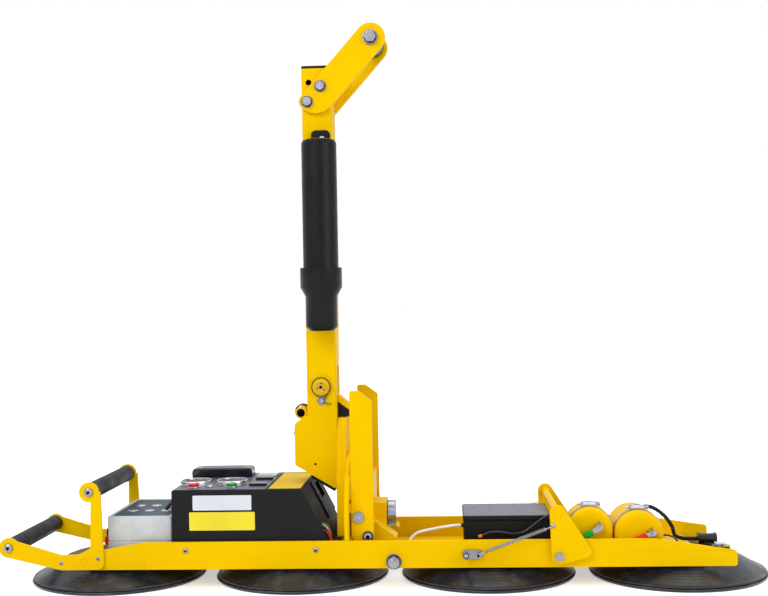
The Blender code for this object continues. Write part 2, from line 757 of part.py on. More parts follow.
def build_control_box(beam, looks):
    left, top_x, knee_x, knee_z, top = box_outline(0.0)
    outer = rounded([(left, ON_DECK, 0.0), (knee_x, ON_DECK, 0.0), (knee_x, knee_z, BOX_FOLD),
                     (top_x, top, BOX_FOLD), (left, top, BOX_FOLD)])
    half = BOX_HALF_DEPTH
    box = piece("control_box", prism(outer, -half, half, "Y"), looks["black_sheet"], beam)
    left, top_x, knee_x, knee_z, top = box_outline(BOX_SHEET)
    room = [(left, ON_DECK - FIT), (knee_x, ON_DECK - FIT), (knee_x, knee_z), (top_x, top), (left, top)]
    cut(box, prism(room, -half + BOX_SHEET, half - BOX_SHEET, "Y"))
    lean = math.atan2(BOX_SLANT, BOX_TOP - BOX_SLANT_BASE)
    slot_x = BOX_RIGHT_TOP + BOX_SLOT_DOWN * BOX_SLANT
    slot_z = BOX_TOP - BOX_SLOT_DOWN * (BOX_TOP - BOX_SLANT_BASE)
    reach = 0.5 * BOX_SLOT_LENGTH
    along = (math.sin(lean), -math.cos(lean))
    out = (math.cos(lean) * 2 * BOX_SHEET, math.sin(lean) * 2 * BOX_SHEET)
    ends = [(slot_x + way * along[0], slot_z + way * along[1]) for way in (-reach, reach)]
    slot = [
        (ends[0][0] - out[0], ends[0][1] - out[1]),
        (ends[0][0] + out[0], ends[0][1] + out[1]),
        (ends[1][0] + out[0], ends[1][1] + out[1]),
        (ends[1][0] - out[0], ends[1][1] - out[1]),
    ]
    slot_half = 0.5 * BOX_SLOT_WIDTH
    cut(box, prism(slot, BOX_SLOT_Y - slot_half, BOX_SLOT_Y + slot_half, "Y"))
    for x in BUTTON_X:
        hole = BUTTON_STEM + RUN
        cut(box, rod(x, BUTTON_Y, hole, BOX_TOP - 2 * BOX_SHEET, BOX_TOP + FIT, "Z", SMALL_STEPS))


def build_panel(beam, looks):
    low = BOX_TOP + FIT
    display_left = BOX_LEFT + DISPLAY_INSET
    display = rounded(
        [
            (display_left, low, 0.0),
            (display_left + DISPLAY_LENGTH, low, 0.0),
            (display_left + DISPLAY_LENGTH, low + DISPLAY_HEIGHT, DISPLAY_ROUND),
            (display_left, low + DISPLAY_HEIGHT, DISPLAY_ROUND),
        ]
    )
    near, far = DISPLAY_Y - 0.5 * DISPLAY_DEPTH, DISPLAY_Y + 0.5 * DISPLAY_DEPTH
    piece("display_housing", prism(display, near, far, "Y"), looks["gloss_black"], beam)
    for name, x in zip(("left", "right"), GAUGE_X):
        gauge = turned(
            [
                (0.0, low),
                (GAUGE_RADIUS, low),
                (GAUGE_RADIUS, low + 0.7 * GAUGE_HEIGHT),
                (GAUGE_RADIUS - 0.3 * GAUGE_BEZEL, low + GAUGE_HEIGHT),
                (GAUGE_RADIUS - GAUGE_BEZEL, low + GAUGE_HEIGHT - 0.3 * GAUGE_RECESS),
                (GAUGE_RADIUS - GAUGE_BEZEL, low + GAUGE_HEIGHT - GAUGE_RECESS),
                (0.0, low + GAUGE_HEIGHT - GAUGE_RECESS),
            ],
            (x, GAUGE_Y, 0.0),
            "Z",
        )
        piece(f"gauge_{name}", gauge, looks["chrome"], beam)


def build_buttons(beam, looks):
    for name, x in zip(("red", "green"), BUTTON_X):
        owner = group(f"button_{name}_slide", (x, BUTTON_Y, BOX_TOP), beam)
        seat = BOX_TOP + BUTTON_TRAVEL + FIT
        button = turned(
            [
                (0.0, BOX_TOP - BOX_SHEET - FIT),
                (BUTTON_STEM, BOX_TOP - BOX_SHEET - FIT),
                (BUTTON_STEM, seat),
                (BUTTON_RADIUS, seat),
                (BUTTON_RADIUS, seat + 0.6 * BUTTON_HEIGHT),
                (0.8 * BUTTON_RADIUS, seat + BUTTON_HEIGHT),
                (0.0, seat + BUTTON_HEIGHT),
            ],
            (x, BUTTON_Y, 0.0),
            "Z",
            SMALL_STEPS,
        )
        piece(f"button_{name}", button, looks[f"{name}_plastic"], owner)


def build_pump_box(beam, looks):
    right, back = PUMP_LEFT + PUMP_LENGTH, PUMP_FRONT + PUMP_DEPTH
    seam = PUMP_TOP - PUMP_LID_HEIGHT
    plan = rounded([(PUMP_LEFT, PUMP_FRONT, PUMP_ROUND), (right, PUMP_FRONT, PUMP_ROUND),
                    (right, back, PUMP_ROUND), (PUMP_LEFT, back, PUMP_ROUND)])
    box = piece("pump_box", prism(plan, ON_DECK, seam - FIT, "Z"), looks["black_plastic"], beam)
    wall = PUMP_WALL
    inside = (PUMP_LEFT + wall, right - wall), (PUMP_FRONT + wall, back - wall), (ON_DECK + wall, seam)
    cut(box, block(*inside))
    lip, corner = PUMP_LID_LIP, PUMP_ROUND
    grown = rounded([(PUMP_LEFT - lip, PUMP_FRONT - lip, corner), (right + lip, PUMP_FRONT - lip, corner),
                     (right + lip, back + lip, corner), (PUMP_LEFT - lip, back + lip, corner)])
    lid = piece("pump_box_lid", prism(grown, seam, PUMP_TOP, "Z"), looks["black_plastic"], beam)
    soften(lid, PUMP_LID_EDGE)


# Vacuum reservoirs with their clamps and shut-off levers
def build_reservoirs(beam, looks):
    for index, name in enumerate(("left", "right")):
        x, z, radius = RESERVOIR_X[index], RESERVOIR_Z[index], RESERVOIR_RADIUS[index]
        front, back = RESERVOIR_FRONT, RESERVOIR_FRONT + RESERVOIR_LENGTH[index]
        wall, bend = RESERVOIR_WALL, RESERVOIR_ROUND
        tank = turned(
            [
                (0.0, front),
                (radius - bend, front),
                (radius - CORNER_CUT * bend, front + CORNER_CUT * bend),
                (radius, front + bend),
                (radius, back - bend),
                (radius - bend, back),
                (RESERVOIR_PORT, back),
                (RESERVOIR_PORT, back - wall),
                (radius - wall - bend, back - wall),
                (radius - wall, back - wall - bend),
                (radius - wall, front + wall + bend),
                (radius - wall - bend, front + wall),
                (0.0, front + wall),
            ],
            (x, 0.0, z),
            "Y",
        )
        made = piece(f"reservoir_{name}", tank, looks["paint"], beam)
        dx, dz = VALVE_OFFSET[index]
        stem_low = front - VALVE_STEM_LENGTH
        join(made, rod(x + dx, z + dz, VALVE_STEM_RADIUS, stem_low, front + 0.5 * wall, "Y", SMALL_STEPS))
        build_clamp(name, x, z, radius, looks, beam)
        build_valve_lever(index, x + dx, z + dz, stem_low, looks, beam)


def build_clamp(name, x, z, radius, looks, beam):
    low = RESERVOIR_FRONT + BAND_SETBACK
    high = low + BAND_WIDTH
    inner, outer = radius + FIT, radius + FIT + BAND_THICKNESS
    section = [(inner, low), (outer, low), (outer, high), (inner, high)]
    band = turned(section, (x, 0.0, z), "Y", PAD_STEPS, closed=True)
    clamp = piece(f"clamp_{name}", band, looks["steel"], beam)
    length, depth, height = SCREW_HOUSING
    middle = 0.5 * (low + high)
    crown = z + outer - 0.5 * BAND_THICKNESS
    housing = block(
        (x - 0.5 * length, x + 0.5 * length),
        (middle - 0.5 * depth, middle + 0.5 * depth),
        (crown - 0.4 * BAND_THICKNESS, crown + height),
    )
    join(clamp, housing)
    under = z - outer
    if under < DECK_TOP + BAND_THICKNESS:
        cut(clamp, block((x - radius, x + radius), (low - FIT, high + FIT), (under - FIT, DECK_TOP + FIT)))
        return
    half = 0.5 * CRADLE_WIDTH
    rise = z - math.sqrt(outer**2 - half**2)
    cradle = [(x - half, ON_DECK), (x + half, ON_DECK), (x + half, rise), (x - half, rise)]
    join(clamp, prism(cradle, low, high, "Y"))
    cut(clamp, rod(x, z, inner, low - FIT, high + FIT, "Y", PAD_STEPS))


def build_valve_lever(index, x, z, stem_end, looks, beam):
    name = ("green", "red")[index]
    owner = group(f"valve_{name}_axis", (x, stem_end, z), beam)
    angle = VALVE_LEVER_ANGLE[index]
    reach = VALVE_LEVER_LENGTH[index]
    tip = (x + reach * math.cos(angle), z + reach * math.sin(angle))
    neck = (x + 0.25 * (tip[0] - x), z + 0.25 * (tip[1] - z))
    high = stem_end - FIT
    outline = hull([(x, z, 0.9 * VALVE_STEM_RADIUS), (*neck, 0.5 * VALVE_LEVER_WIDTH)], SMALL_STEPS)
    lever = piece(
        f"valve_lever_{name}",
        prism(outline, high - VALVE_LEVER_THICKNESS, high, "Y"),
        looks[f"{name}_plastic"],
        owner,
    )
    grip = hull([(*neck, 0.5 * VALVE_LEVER_WIDTH), (*tip, 0.4 * VALVE_LEVER_WIDTH)], SMALL_STEPS)
    join(lever, prism(grip, high - VALVE_LEVER_THICKNESS, high, "Y"))


# Bail with its pins, springs and spring anchors
def build_bail(beam, looks):
    owner = group("bail_axis", (BAIL_PIVOT[0], 0.0, BAIL_PIVOT[1]), beam)
    shape = hull(
        [(*BAIL_TOP, BAIL_TOP_RADIUS), (*BAIL_PIVOT, BAIL_PIVOT_RADIUS), (*BAIL_LOBE, BAIL_LOBE_RADIUS)],
        SMALL_STEPS,
    )
    reach = BAIL_OUTER_Y - 0.5 * BAIL_THICKNESS
    handle = rod(*BAIL_TOP, BAIL_ROD_RADIUS, -reach, reach, "Y", SMALL_STEPS)
    bail = piece("bail", handle, looks["paint"], owner)
    for _, side in both_sides():
        low, high = span(side, BAIL_INNER_Y, BAIL_OUTER_Y)
        join(bail, prism(shape, low, high, "Y"))
    for _, side in both_sides():
        low, high = span(side, BAIL_INNER_Y, BAIL_OUTER_Y)
        cut(bail, rod(*BAIL_PIVOT, BAIL_PIN_RADIUS + RUN, low - FIT, high + FIT, "Y", SMALL_STEPS))


def build_bail_mounts(beam, looks):
    for name, side in both_sides():
        inner = RAIL_INNER_Y - BAIL_NUT_HEIGHT
        head = BAIL_OUTER_Y + FIT
        profile = [
            (0.0, inner),
            (BAIL_PIN_HEAD, inner),
            (BAIL_PIN_HEAD, RAIL_INNER_Y - FIT),
            (BAIL_PIN_RADIUS, RAIL_INNER_Y - FIT),
            (BAIL_PIN_RADIUS, RAIL_OUTER_Y + FIT),
            (BAIL_PIN_HEAD, RAIL_OUTER_Y + FIT),
            (BAIL_PIN_HEAD, BAIL_INNER_Y - FIT),
            (BAIL_PIN_RADIUS, BAIL_INNER_Y - FIT),
            (BAIL_PIN_RADIUS, head),
            (BAIL_PIN_HEAD, head),
            (BAIL_PIN_HEAD, head + BAIL_PIN_HEAD_HEIGHT),
            (0.0, head + BAIL_PIN_HEAD_HEIGHT),
        ]
        centre = (BAIL_PIVOT[0], 0.0, BAIL_PIVOT[1])
        pin = turned([(radius, side * y) for radius, y in profile], centre, "Y", SMALL_STEPS)
        piece(f"bail_pin_{name}", pin, looks["steel"], beam)
        low, high = span(side, RAIL_OUTER_Y + FIT, RAIL_OUTER_Y + FIT + ANCHOR_THICKNESS)
        half = 0.5 * ANCHOR_WIDTH
        run = 0.5 * ANCHOR_LENGTH - half
        link = hull([(ANCHOR_X - run, ANCHOR_Z, half), (ANCHOR_X + run, ANCHOR_Z, half)], SMALL_STEPS)
        anchor = piece(f"spring_anchor_{name}", prism(link, low, high, "Y"), looks["steel"], beam)
        post_low, post_high = span(side, RAIL_OUTER_Y + FIT, BAIL_OUTER_Y + FIT + 2 * SPRING_RADIUS)
        post_x = ANCHOR_X - run
        join(anchor, rod(post_x, ANCHOR_Z, POST_RADIUS, post_low, post_high, "Y", SMALL_STEPS))
        spring_y = side * (BAIL_OUTER_Y + FIT + SPRING_RADIUS)
        start = (post_x + SPRING_START[0], ANCHOR_Z + SPRING_START[1])
        wire(
            f"spring_{name}",
            [
                (start[0], spring_y, start[1]),
                (SPRING_FOOT[0], spring_y, SPRING_FOOT[1]),
                (SPRING_HOOK[0], spring_y, SPRING_HOOK[1]),
            ],
            SPRING_RADIUS,
            looks["steel"],
            beam,
            SPRING_ROUNDNESS,
        )


def wire(name, points, radius, look, owner, roundness=2):
    """Closed round tube along a list of points."""
    curve = bpy.data.curves.new(name, "CURVE")
    curve.dimensions = "3D"
    curve.bevel_depth = radius
    curve.bevel_resolution = roundness
    curve.use_fill_caps = True
    spline = curve.splines.new("POLY")
    spline.points.add(len(points) - 1)
    for target, point in zip(spline.points, points):
        target.co = (*(Vector(point) - ORIGINS[owner.name]), 1.0)
    curve.materials.append(look)
    made = bpy.data.objects.new(name, curve)
    bpy.context.scene.collection.objects.link(made)
    made.parent = owner
    return made


def smooth_route(route, spacing):
    """Points about one spacing apart on a smooth curve through the route's own points."""
    knots = [Vector(point) for point in route]
    knots = [2 * knots[0] - knots[1], *knots, 2 * knots[-1] - knots[-2]]
    points = []
    for a, b, c, d in zip(knots, knots[1:], knots[2:], knots[3:]):
        steps = max(1, round((c - b).length / spacing))
        for step in range(steps):
            t = step / steps
            curve = 2 * b + (c - a) * t + (2 * a - 5 * b + 4 * c - d) * t**2 + (3 * b - a - 3 * c + d) * t**3
            points.append(0.5 * curve)
    points.append(knots[-2])
    return points


# Hose, cables and the hose valve on the last pad
def build_hoses(beam, looks):
    tank_back = RESERVOIR_FRONT + RESERVOIR_LENGTH[1]
    valve_left = PAD_VALVE_X - 0.5 * PAD_VALVE_LENGTH
    port = Vector((RESERVOIR_X[1], tank_back + FIT, RESERVOIR_Z[1]))
    leads = [valve_left - lead for lead in (*HOSE_LEAD, FIT)]
    hose_route = [port, *(port + Vector(bend) for bend in HOSE_BENDS)]
    hose_route += [(x, PAD_VALVE_Y, PAD_VALVE_Z) for x in leads]
    hose_path = smooth_route(hose_route, HOSE_SPACING)
    wire("vacuum_hose", hose_path, HOSE_RADIUS, looks["black_plastic"], beam)
    x, y = CABLE_HOLE
    cable_route = [(x, y, ON_DECK), *((x + along, y, ON_DECK + up) for along, up in CABLE_BENDS)]
    cable_route += [(PUMP_LEFT - lead, y, CABLE_PORT_Z) for lead in (CABLE_LEAD, FIT)]
    cable_path = smooth_route(cable_route, CABLE_SPACING)
    wire("pump_cable", cable_path, CABLE_RADIUS, looks["white_cable"], beam)
    half = 0.5 * PAD_VALVE_LENGTH
    rim = PAD_VALVE_COLLAR
    profile = [
        (0.0, -half),
        (PAD_VALVE_FLANGE, -half),
        (PAD_VALVE_FLANGE, -half + rim),
        (PAD_VALVE_RADIUS, -half + rim),
        (PAD_VALVE_RADIUS, half - rim),
        (PAD_VALVE_FLANGE, half - rim),
        (PAD_VALVE_FLANGE, half),
        (0.0, half),
    ]
    body = turned(profile, (PAD_VALVE_X, PAD_VALVE_Y, PAD_VALVE_Z), "X", SMALL_STEPS)
    valve = piece("pad_valve", body, looks["gloss_black"], beam)
    foot_top = PAD_VALVE_Z - 0.5 * PAD_VALVE_RADIUS
    join(valve, rod(PAD_VALVE_X, PAD_VALVE_Y, 0.5 * PAD_VALVE_FOOT, PAD_TOP + FIT, foot_top, "Z"))


# Fork: cheeks, index disc and bearing block
def build_fork(fork, looks):
    bottom, top, right = CHEEK_BOTTOM, CHEEK_TOP, CHEEK_RIGHT
    shape = rounded(
        [
            (CHEEK_LEFT, bottom, CHEEK_CORNER),
            (right, bottom, 0.0),
            (right, top - CHEEK_CHAMFER, CHEEK_KNEE),
            (CHEEK_LEFT + CHEEK_FLAT, top, 0.0),
            (CHEEK_LEFT, top, CHEEK_TIP),
        ]
    )
    for name, side in both_sides():
        low, high = span(side, CHEEK_INNER_Y, CHEEK_OUTER_Y)
        cheek = piece(f"fork_cheek_{name}", prism(shape, low, high, "Y"), looks["paint"], fork)
        cut(cheek, rod(*PIVOT, PIN_RADIUS + RUN, low - FIT, high + FIT, "Y", SMALL_STEPS))


def build_index_disc(fork, looks):
    """Round plate with a flat chord that rests on the rails, three index holes and a backing plate."""
    chord = RAIL_TOP + FIT
    start = math.asin((chord - SHAFT_Z) / DISC_RADIUS)
    steps = 2 * ROUND_STEPS
    sweep = math.pi - 2.0 * start
    arc = [start + sweep * i / steps for i in range(steps + 1)]
    outline = [(DISC_RADIUS * math.cos(a), SHAFT_Z + DISC_RADIUS * math.sin(a)) for a in arc]
    disc = piece("index_disc", prism(outline, DISC_LEFT, DISC_RIGHT, "X"), looks["paint"], fork)
    web = [
        (-CHEEK_OUTER_Y, WEB_BOTTOM),
        (CHEEK_OUTER_Y, WEB_BOTTOM),
        (CHEEK_OUTER_Y, SHAFT_Z + math.sqrt(DISC_RADIUS**2 - CHEEK_OUTER_Y**2)),
        (WEB_TOP_HALF, WEB_TOP),
        (-WEB_TOP_HALF, WEB_TOP),
        (-CHEEK_OUTER_Y, SHAFT_Z + math.sqrt(DISC_RADIUS**2 - CHEEK_OUTER_Y**2)),
    ]
    join(disc, prism(web, DISC_RIGHT - 0.5 * DISC_THICKNESS, WEB_RIGHT, "X"))
    low, high = DISC_LEFT - FIT, WEB_RIGHT + FIT
    cut(disc, rod(0.0, SHAFT_Z, SHAFT_RADIUS + RUN, low, high, "X"))
    for angle in DISC_HOLE_ANGLES:
        y = DISC_HOLE_CIRCLE * math.cos(angle)
        z = SHAFT_Z + DISC_HOLE_CIRCLE * math.sin(angle)
        cut(disc, rod(y, z, DISC_HOLE_RADIUS, low, high, "X", SMALL_STEPS))


def build_bearing_block(fork, looks):
    """Welded bearing carrier: cross plate, bearing tube, end block and two sloped braces."""
    inner = CHEEK_INNER_Y - FIT
    low_half = inner - LUG_THICKNESS - 2 * FIT
    plate = [
        (-low_half, CHEEK_BOTTOM),
        (low_half, CHEEK_BOTTOM),
        (low_half, CROSS_STEP),
        (inner, CROSS_STEP),
        (inner, CROSS_TOP),
        (-inner, CROSS_TOP),
        (-inner, CROSS_STEP),
        (-low_half, CROSS_STEP),
    ]
    carrier = piece(
        "bearing_block", prism(plate, BLOCK_LEFT - CROSS_THICKNESS, BLOCK_LEFT, "X"), looks["paint"], fork
    )
    overlap = 0.5 * CROSS_THICKNESS
    join(
        carrier,
        block((BLOCK_LEFT - overlap, BLOCK_RIGHT), (-BLOCK_HALF, BLOCK_HALF), (CHEEK_BOTTOM, BLOCK_TOP)),
        rod(0.0, SHAFT_Z, BEARING_RADIUS, CHEEK_LEFT, BLOCK_LEFT - overlap, "X"),
    )
    for _, side in both_sides():
        low, high = span(side, BRACE_INNER, BRACE_OUTER)
        brace = [
            (BLOCK_LEFT - overlap, BRACE_BASE),
            (BRACE_TIP[0], BRACE_BASE),
            (BRACE_TIP[0], BRACE_TIP[1]),
            (BLOCK_LEFT - overlap, BRACE_ROOT_Z),
        ]
        join(carrier, prism(brace, low, high, "Y"))
    cut(carrier, rod(0.0, SHAFT_Z, SHAFT_RADIUS + RUN, CHEEK_LEFT - FIT, BLOCK_RIGHT + FIT, "X"))
    room = NUT_RADIUS + NUT_CLEARANCE
    cut(carrier, rod(0.0, SHAFT_Z, room, BLOCK_RIGHT, BRACE_TIP[0] + FIT, "X"))


# Mast, foot, arch and shaft
def build_mast(mast, looks):
    corner = MAST_CORNER
    plan = rounded([(MAST_LEFT, -MAST_HALF, corner), (MAST_RIGHT, -MAST_HALF, corner),
                    (MAST_RIGHT, MAST_HALF, corner), (MAST_LEFT, MAST_HALF, corner)])
    tube = piece("mast_tube", prism(plan, MAST_BOTTOM, MAST_TOP, "Z"), looks["paint"], mast)
    wall = MAST_WALL
    cut(
        tube,
        block(
            (MAST_LEFT + wall, MAST_RIGHT - wall),
            (-MAST_HALF + wall, MAST_HALF - wall),
            (MAST_BOTTOM - FIT, MAST_TOP + FIT),
        ),
        rod(
            MAST_LEFT + MAST_HOLE_INSET,
            MAST_TOP - MAST_HOLE_DROP,
            MAST_HOLE_RADIUS,
            -MAST_HALF - FIT,
            MAST_HALF + FIT,
            "Y",
            SMALL_STEPS,
        ),
        rod(*LEVER_PIVOT, LEVER_PIN_RADIUS + RUN, -MAST_HALF - FIT, MAST_HALF + FIT, "Y", SMALL_STEPS),
    )
    slot_low = LATCH_BOTTOM - 0.5 * FOOT_WALL
    cut(
        tube,
        block(
            (MAST_RIGHT - 2 * wall, MAST_RIGHT + FIT),
            (-LEVER_HALF_WIDTH - SLOT_GAP, LEVER_HALF_WIDTH + SLOT_GAP),
            (slot_low, LEVER_PIVOT[1] + SLOT_HALF_HEIGHT),
        ),
    )
    lid = MAST_TOP + FIT
    cap = piece("mast_cap", prism(plan, lid, lid + CAP_HEIGHT, "Z"), looks["black_plastic"], mast)
    inner = wall + FIT
    join(
        cap,
        block(
            (MAST_LEFT + inner, MAST_RIGHT - inner),
            (-MAST_HALF + inner, MAST_HALF - inner),
            (MAST_TOP - CAP_PLUG, MAST_TOP + 0.5 * CAP_HEIGHT),
        ),
    )
    hollow = inner + CAP_WALL
    cut(
        cap,
        block(
            (MAST_LEFT + hollow, MAST_RIGHT - hollow),
            (-MAST_HALF + hollow, MAST_HALF - hollow),
            (MAST_TOP - CAP_PLUG - FIT, MAST_TOP),
        ),
    )


def build_foot(mast, looks):
    beside = MAST_LEFT - FIT
    under = MAST_BOTTOM - FIT
    shape = rounded(
        [
            (FOOT_TIP[0], FOOT_TIP[1], 0.0),
            (MAST_RIGHT, FOOT_TIP[1] + 0.5 * (MAST_RIGHT - FOOT_TIP[0]), 0.0),
            (MAST_RIGHT, under, 0.0),
            (beside, under, 0.0),
            (beside, FOOT_TOP, 0.0),
            (FOOT_LEFT, FOOT_SHOULDER_Z, FOOT_ROUND),
            (FOOT_LEFT, FOOT_CORNER_Z, FOOT_ROUND),
        ]
    )
    foot = piece("mast_foot", prism(shape, -MAST_HALF, MAST_HALF, "Y"), looks["paint"], mast)
    wall = FOOT_WALL
    room = [
        (FOOT_LEFT + wall, FOOT_CORNER_Z + wall),
        (MAST_RIGHT - wall, FOOT_TIP[1] + FOOT_FLOOR_RISE),
        (MAST_RIGHT - wall, under + FIT),
        (beside - wall, under + FIT),
        (beside - wall, FOOT_ROOM_TOP),
        (FOOT_LEFT + wall, FOOT_ROOM_SHOULDER),
    ]
    cut(foot, prism(room, -MAST_HALF + wall, MAST_HALF - wall, "Y"))
    tube_x = beside - CROSS_TUBE_RADIUS - FIT
    tube_z = FOOT_TOP + CROSS_TUBE_RISE
    join(foot, rod(tube_x, tube_z, CROSS_TUBE_RADIUS, -MAST_HALF, MAST_HALF, "Y"))
    cut(foot, rod(tube_x, tube_z, CROSS_TUBE_BORE, -MAST_HALF - FIT, MAST_HALF + FIT, "Y"))


def build_arch(mast, looks):
    chamfer = ARCH_TOP_CHAMFER
    shape = rounded(
        [
            (-ARCH_HALF, ARCH_BOTTOM, ARCH_FOOT_ROUND),
            (ARCH_HALF, ARCH_BOTTOM, ARCH_FOOT_ROUND),
            (ARCH_HALF, ARCH_SHOULDER, ARCH_SHOULDER_ROUND),
            (ARCH_TOP_HALF, ARCH_TOP - chamfer, ARCH_TOP_ROUND),
            (ARCH_TOP_HALF - chamfer, ARCH_TOP, ARCH_TOP_ROUND),
            (chamfer - ARCH_TOP_HALF, ARCH_TOP, ARCH_TOP_ROUND),
            (-ARCH_TOP_HALF, ARCH_TOP - chamfer, ARCH_TOP_ROUND),
            (-ARCH_HALF, ARCH_SHOULDER, ARCH_SHOULDER_ROUND),
        ]
    )
    arch = piece("swivel_arch", prism(shape, ARCH_LEFT, ARCH_RIGHT, "X"), looks["paint_light"], mast)
    cut(arch, rod(0.0, SHAFT_Z, SHAFT_RADIUS + RUN, ARCH_LEFT - FIT, ARCH_RIGHT + FIT, "X"))
    nut_left = BLOCK_RIGHT + FIT
    nut_right = nut_left + NUT_LENGTH
    edge = NUT_EDGE
    shaft = turned(
        [
            (0.0, ARCH_LEFT),
            (SHAFT_RADIUS, ARCH_LEFT),
            (SHAFT_RADIUS, nut_left),
            (NUT_RADIUS - edge, nut_left),
            (NUT_RADIUS, nut_left + edge),
            (NUT_RADIUS, nut_right - edge),
            (NUT_RADIUS - edge, nut_right),
            (0.0, nut_right),
        ],
        (0.0, 0.0, SHAFT_Z),
        "X",
    )
    piece("swivel_shaft", shaft, looks["steel"], mast)


def build_index_lever(lever, looks):
    """Pin and arm inside the mast, sprung hub in front, hood and latch block behind the slot."""
    x, z = LEVER_PIVOT
    hub_back = -MAST_HALF - FIT
    made = piece(
        "index_lever",
        turned(
            [
                (0.0, hub_back - LEVER_HUB_HEIGHT),
                (0.75 * LEVER_HUB_RADIUS, hub_back - LEVER_HUB_HEIGHT),
                (LEVER_HUB_RADIUS, hub_back - 0.6 * LEVER_HUB_HEIGHT),
                (LEVER_HUB_RADIUS, hub_back),
                (LEVER_PIN_RADIUS, hub_back),
                (LEVER_PIN_RADIUS, MAST_HALF),
                (0.0, MAST_HALF),
            ],
            (x, 0.0, z),
            "Y",
        ),
        looks["paint"],
        lever,
    )
    hood_left = MAST_RIGHT + 2 * FIT
    hood_high = LATCH_BOTTOM + LATCH_RISE + HOOD_THICKNESS
    drop = HOOD_DROP
    arm = [
        (x, z - LEVER_PIN_RADIUS - ARM_UNDER),
        (hood_left + ARM_HOOK, hood_high - HOOD_THICKNESS),
        (hood_left + ARM_HOOK, hood_high + HOOD_FLAT),
        (x, z + LEVER_PIN_RADIUS + ARM_OVER),
        (x - LEVER_PIN_RADIUS - ARM_BACK, z),
    ]
    join(made, prism(arm, -LEVER_HALF_WIDTH, LEVER_HALF_WIDTH, "Y"))
    hood = [
        (hood_left, hood_high - HOOD_THICKNESS),
        (LATCH_RIGHT, hood_high - drop - HOOD_THICKNESS),
        (LATCH_RIGHT, hood_high - drop),
        (hood_left + HOOD_FLAT, hood_high + HOOD_CREST),
        (hood_left, hood_high + HOOD_CREST),
    ]
    join(made, prism(hood, -LATCH_HALF_WIDTH, LATCH_HALF_WIDTH, "Y"))
    latch = [
        (hood_left + LATCH_INSET[0], LATCH_BOTTOM),
        (LATCH_RIGHT - LATCH_INSET[1], LATCH_BOTTOM),
        (LATCH_RIGHT - LATCH_INSET[1], hood_high - drop - FIT),
        (hood_left + LATCH_INSET[0], hood_high - FIT),
    ]
    join(made, prism(latch, -LATCH_HALF_WIDTH, LATCH_HALF_WIDTH, "Y"))


# Suspension bracket with its cross bolt
def bracket_outline():
    along = Vector((math.cos(BRACKET_ANGLE), math.sin(BRACKET_ANGLE)))
    across = Vector((-along.y, along.x)) * BRACKET_RADIUS
    eye = Vector(BRACKET_EYE)
    foot = eye - along * BRACKET_LENGTH
    corners = [(*(foot - across), BRACKET_HEEL), (*(eye - across), 0.0), (*(eye + across), 0.0),
               (*(foot + across), BRACKET_CORNER)]
    points = rounded(corners)
    arc = []
    steps = ROUND_STEPS // 2
    for step in range(1, steps):
        angle = BRACKET_ANGLE - 0.5 * math.pi + math.pi * step / steps
        arc.append(eye + BRACKET_RADIUS * Vector((math.cos(angle), math.sin(angle))))
    split = ARC_STEPS + 2
    return points[:split] + arc + points[split:]


def build_bracket(mast, looks):
    outline = bracket_outline()
    for name, side in both_sides():
        low, high = span(side, BRACKET_INNER_Y, BRACKET_OUTER_Y)
        plate = piece(f"bracket_{name}", prism(outline, low, high, "Y"), looks["paint"], mast)
        cut(plate, rod(*BRACKET_EYE, HOOK_BOLT_RADIUS + RUN, low - FIT, high + FIT, "Y"))
    seat = BRACKET_OUTER_Y + FIT
    washer = seat + HOOK_WASHER_THICKNESS
    top = washer + HOOK_HEAD_HEIGHT
    sleeve = BRACKET_INNER_Y - FIT
    profile = [
        (0.0, -washer - HOOK_SEAT),
        (HOOK_WASHER_RADIUS, -washer),
        (HOOK_WASHER_RADIUS, -seat),
        (HOOK_BOLT_RADIUS, -seat),
        (HOOK_BOLT_RADIUS, -sleeve),
        (HOOK_SLEEVE_RADIUS, -sleeve),
        (HOOK_SLEEVE_RADIUS, sleeve),
        (HOOK_BOLT_RADIUS, sleeve),
        (HOOK_BOLT_RADIUS, seat),
        (HOOK_WASHER_RADIUS, seat),
        (HOOK_WASHER_RADIUS, washer),
        (0.0, washer + HOOK_SEAT),
    ]
    centre = (BRACKET_EYE[0], 0.0, BRACKET_EYE[1])
    bolt = piece("hook_bolt", turned(profile, centre, "Y"), looks["steel"], mast)
    for low, high in ((-top, -washer + FIT), (washer - FIT, top)):
        join(bolt, prism(circle(*BRACKET_EYE, HOOK_HEAD_RADIUS, HOOK_HEAD_SIDES), low, high, "Y"))


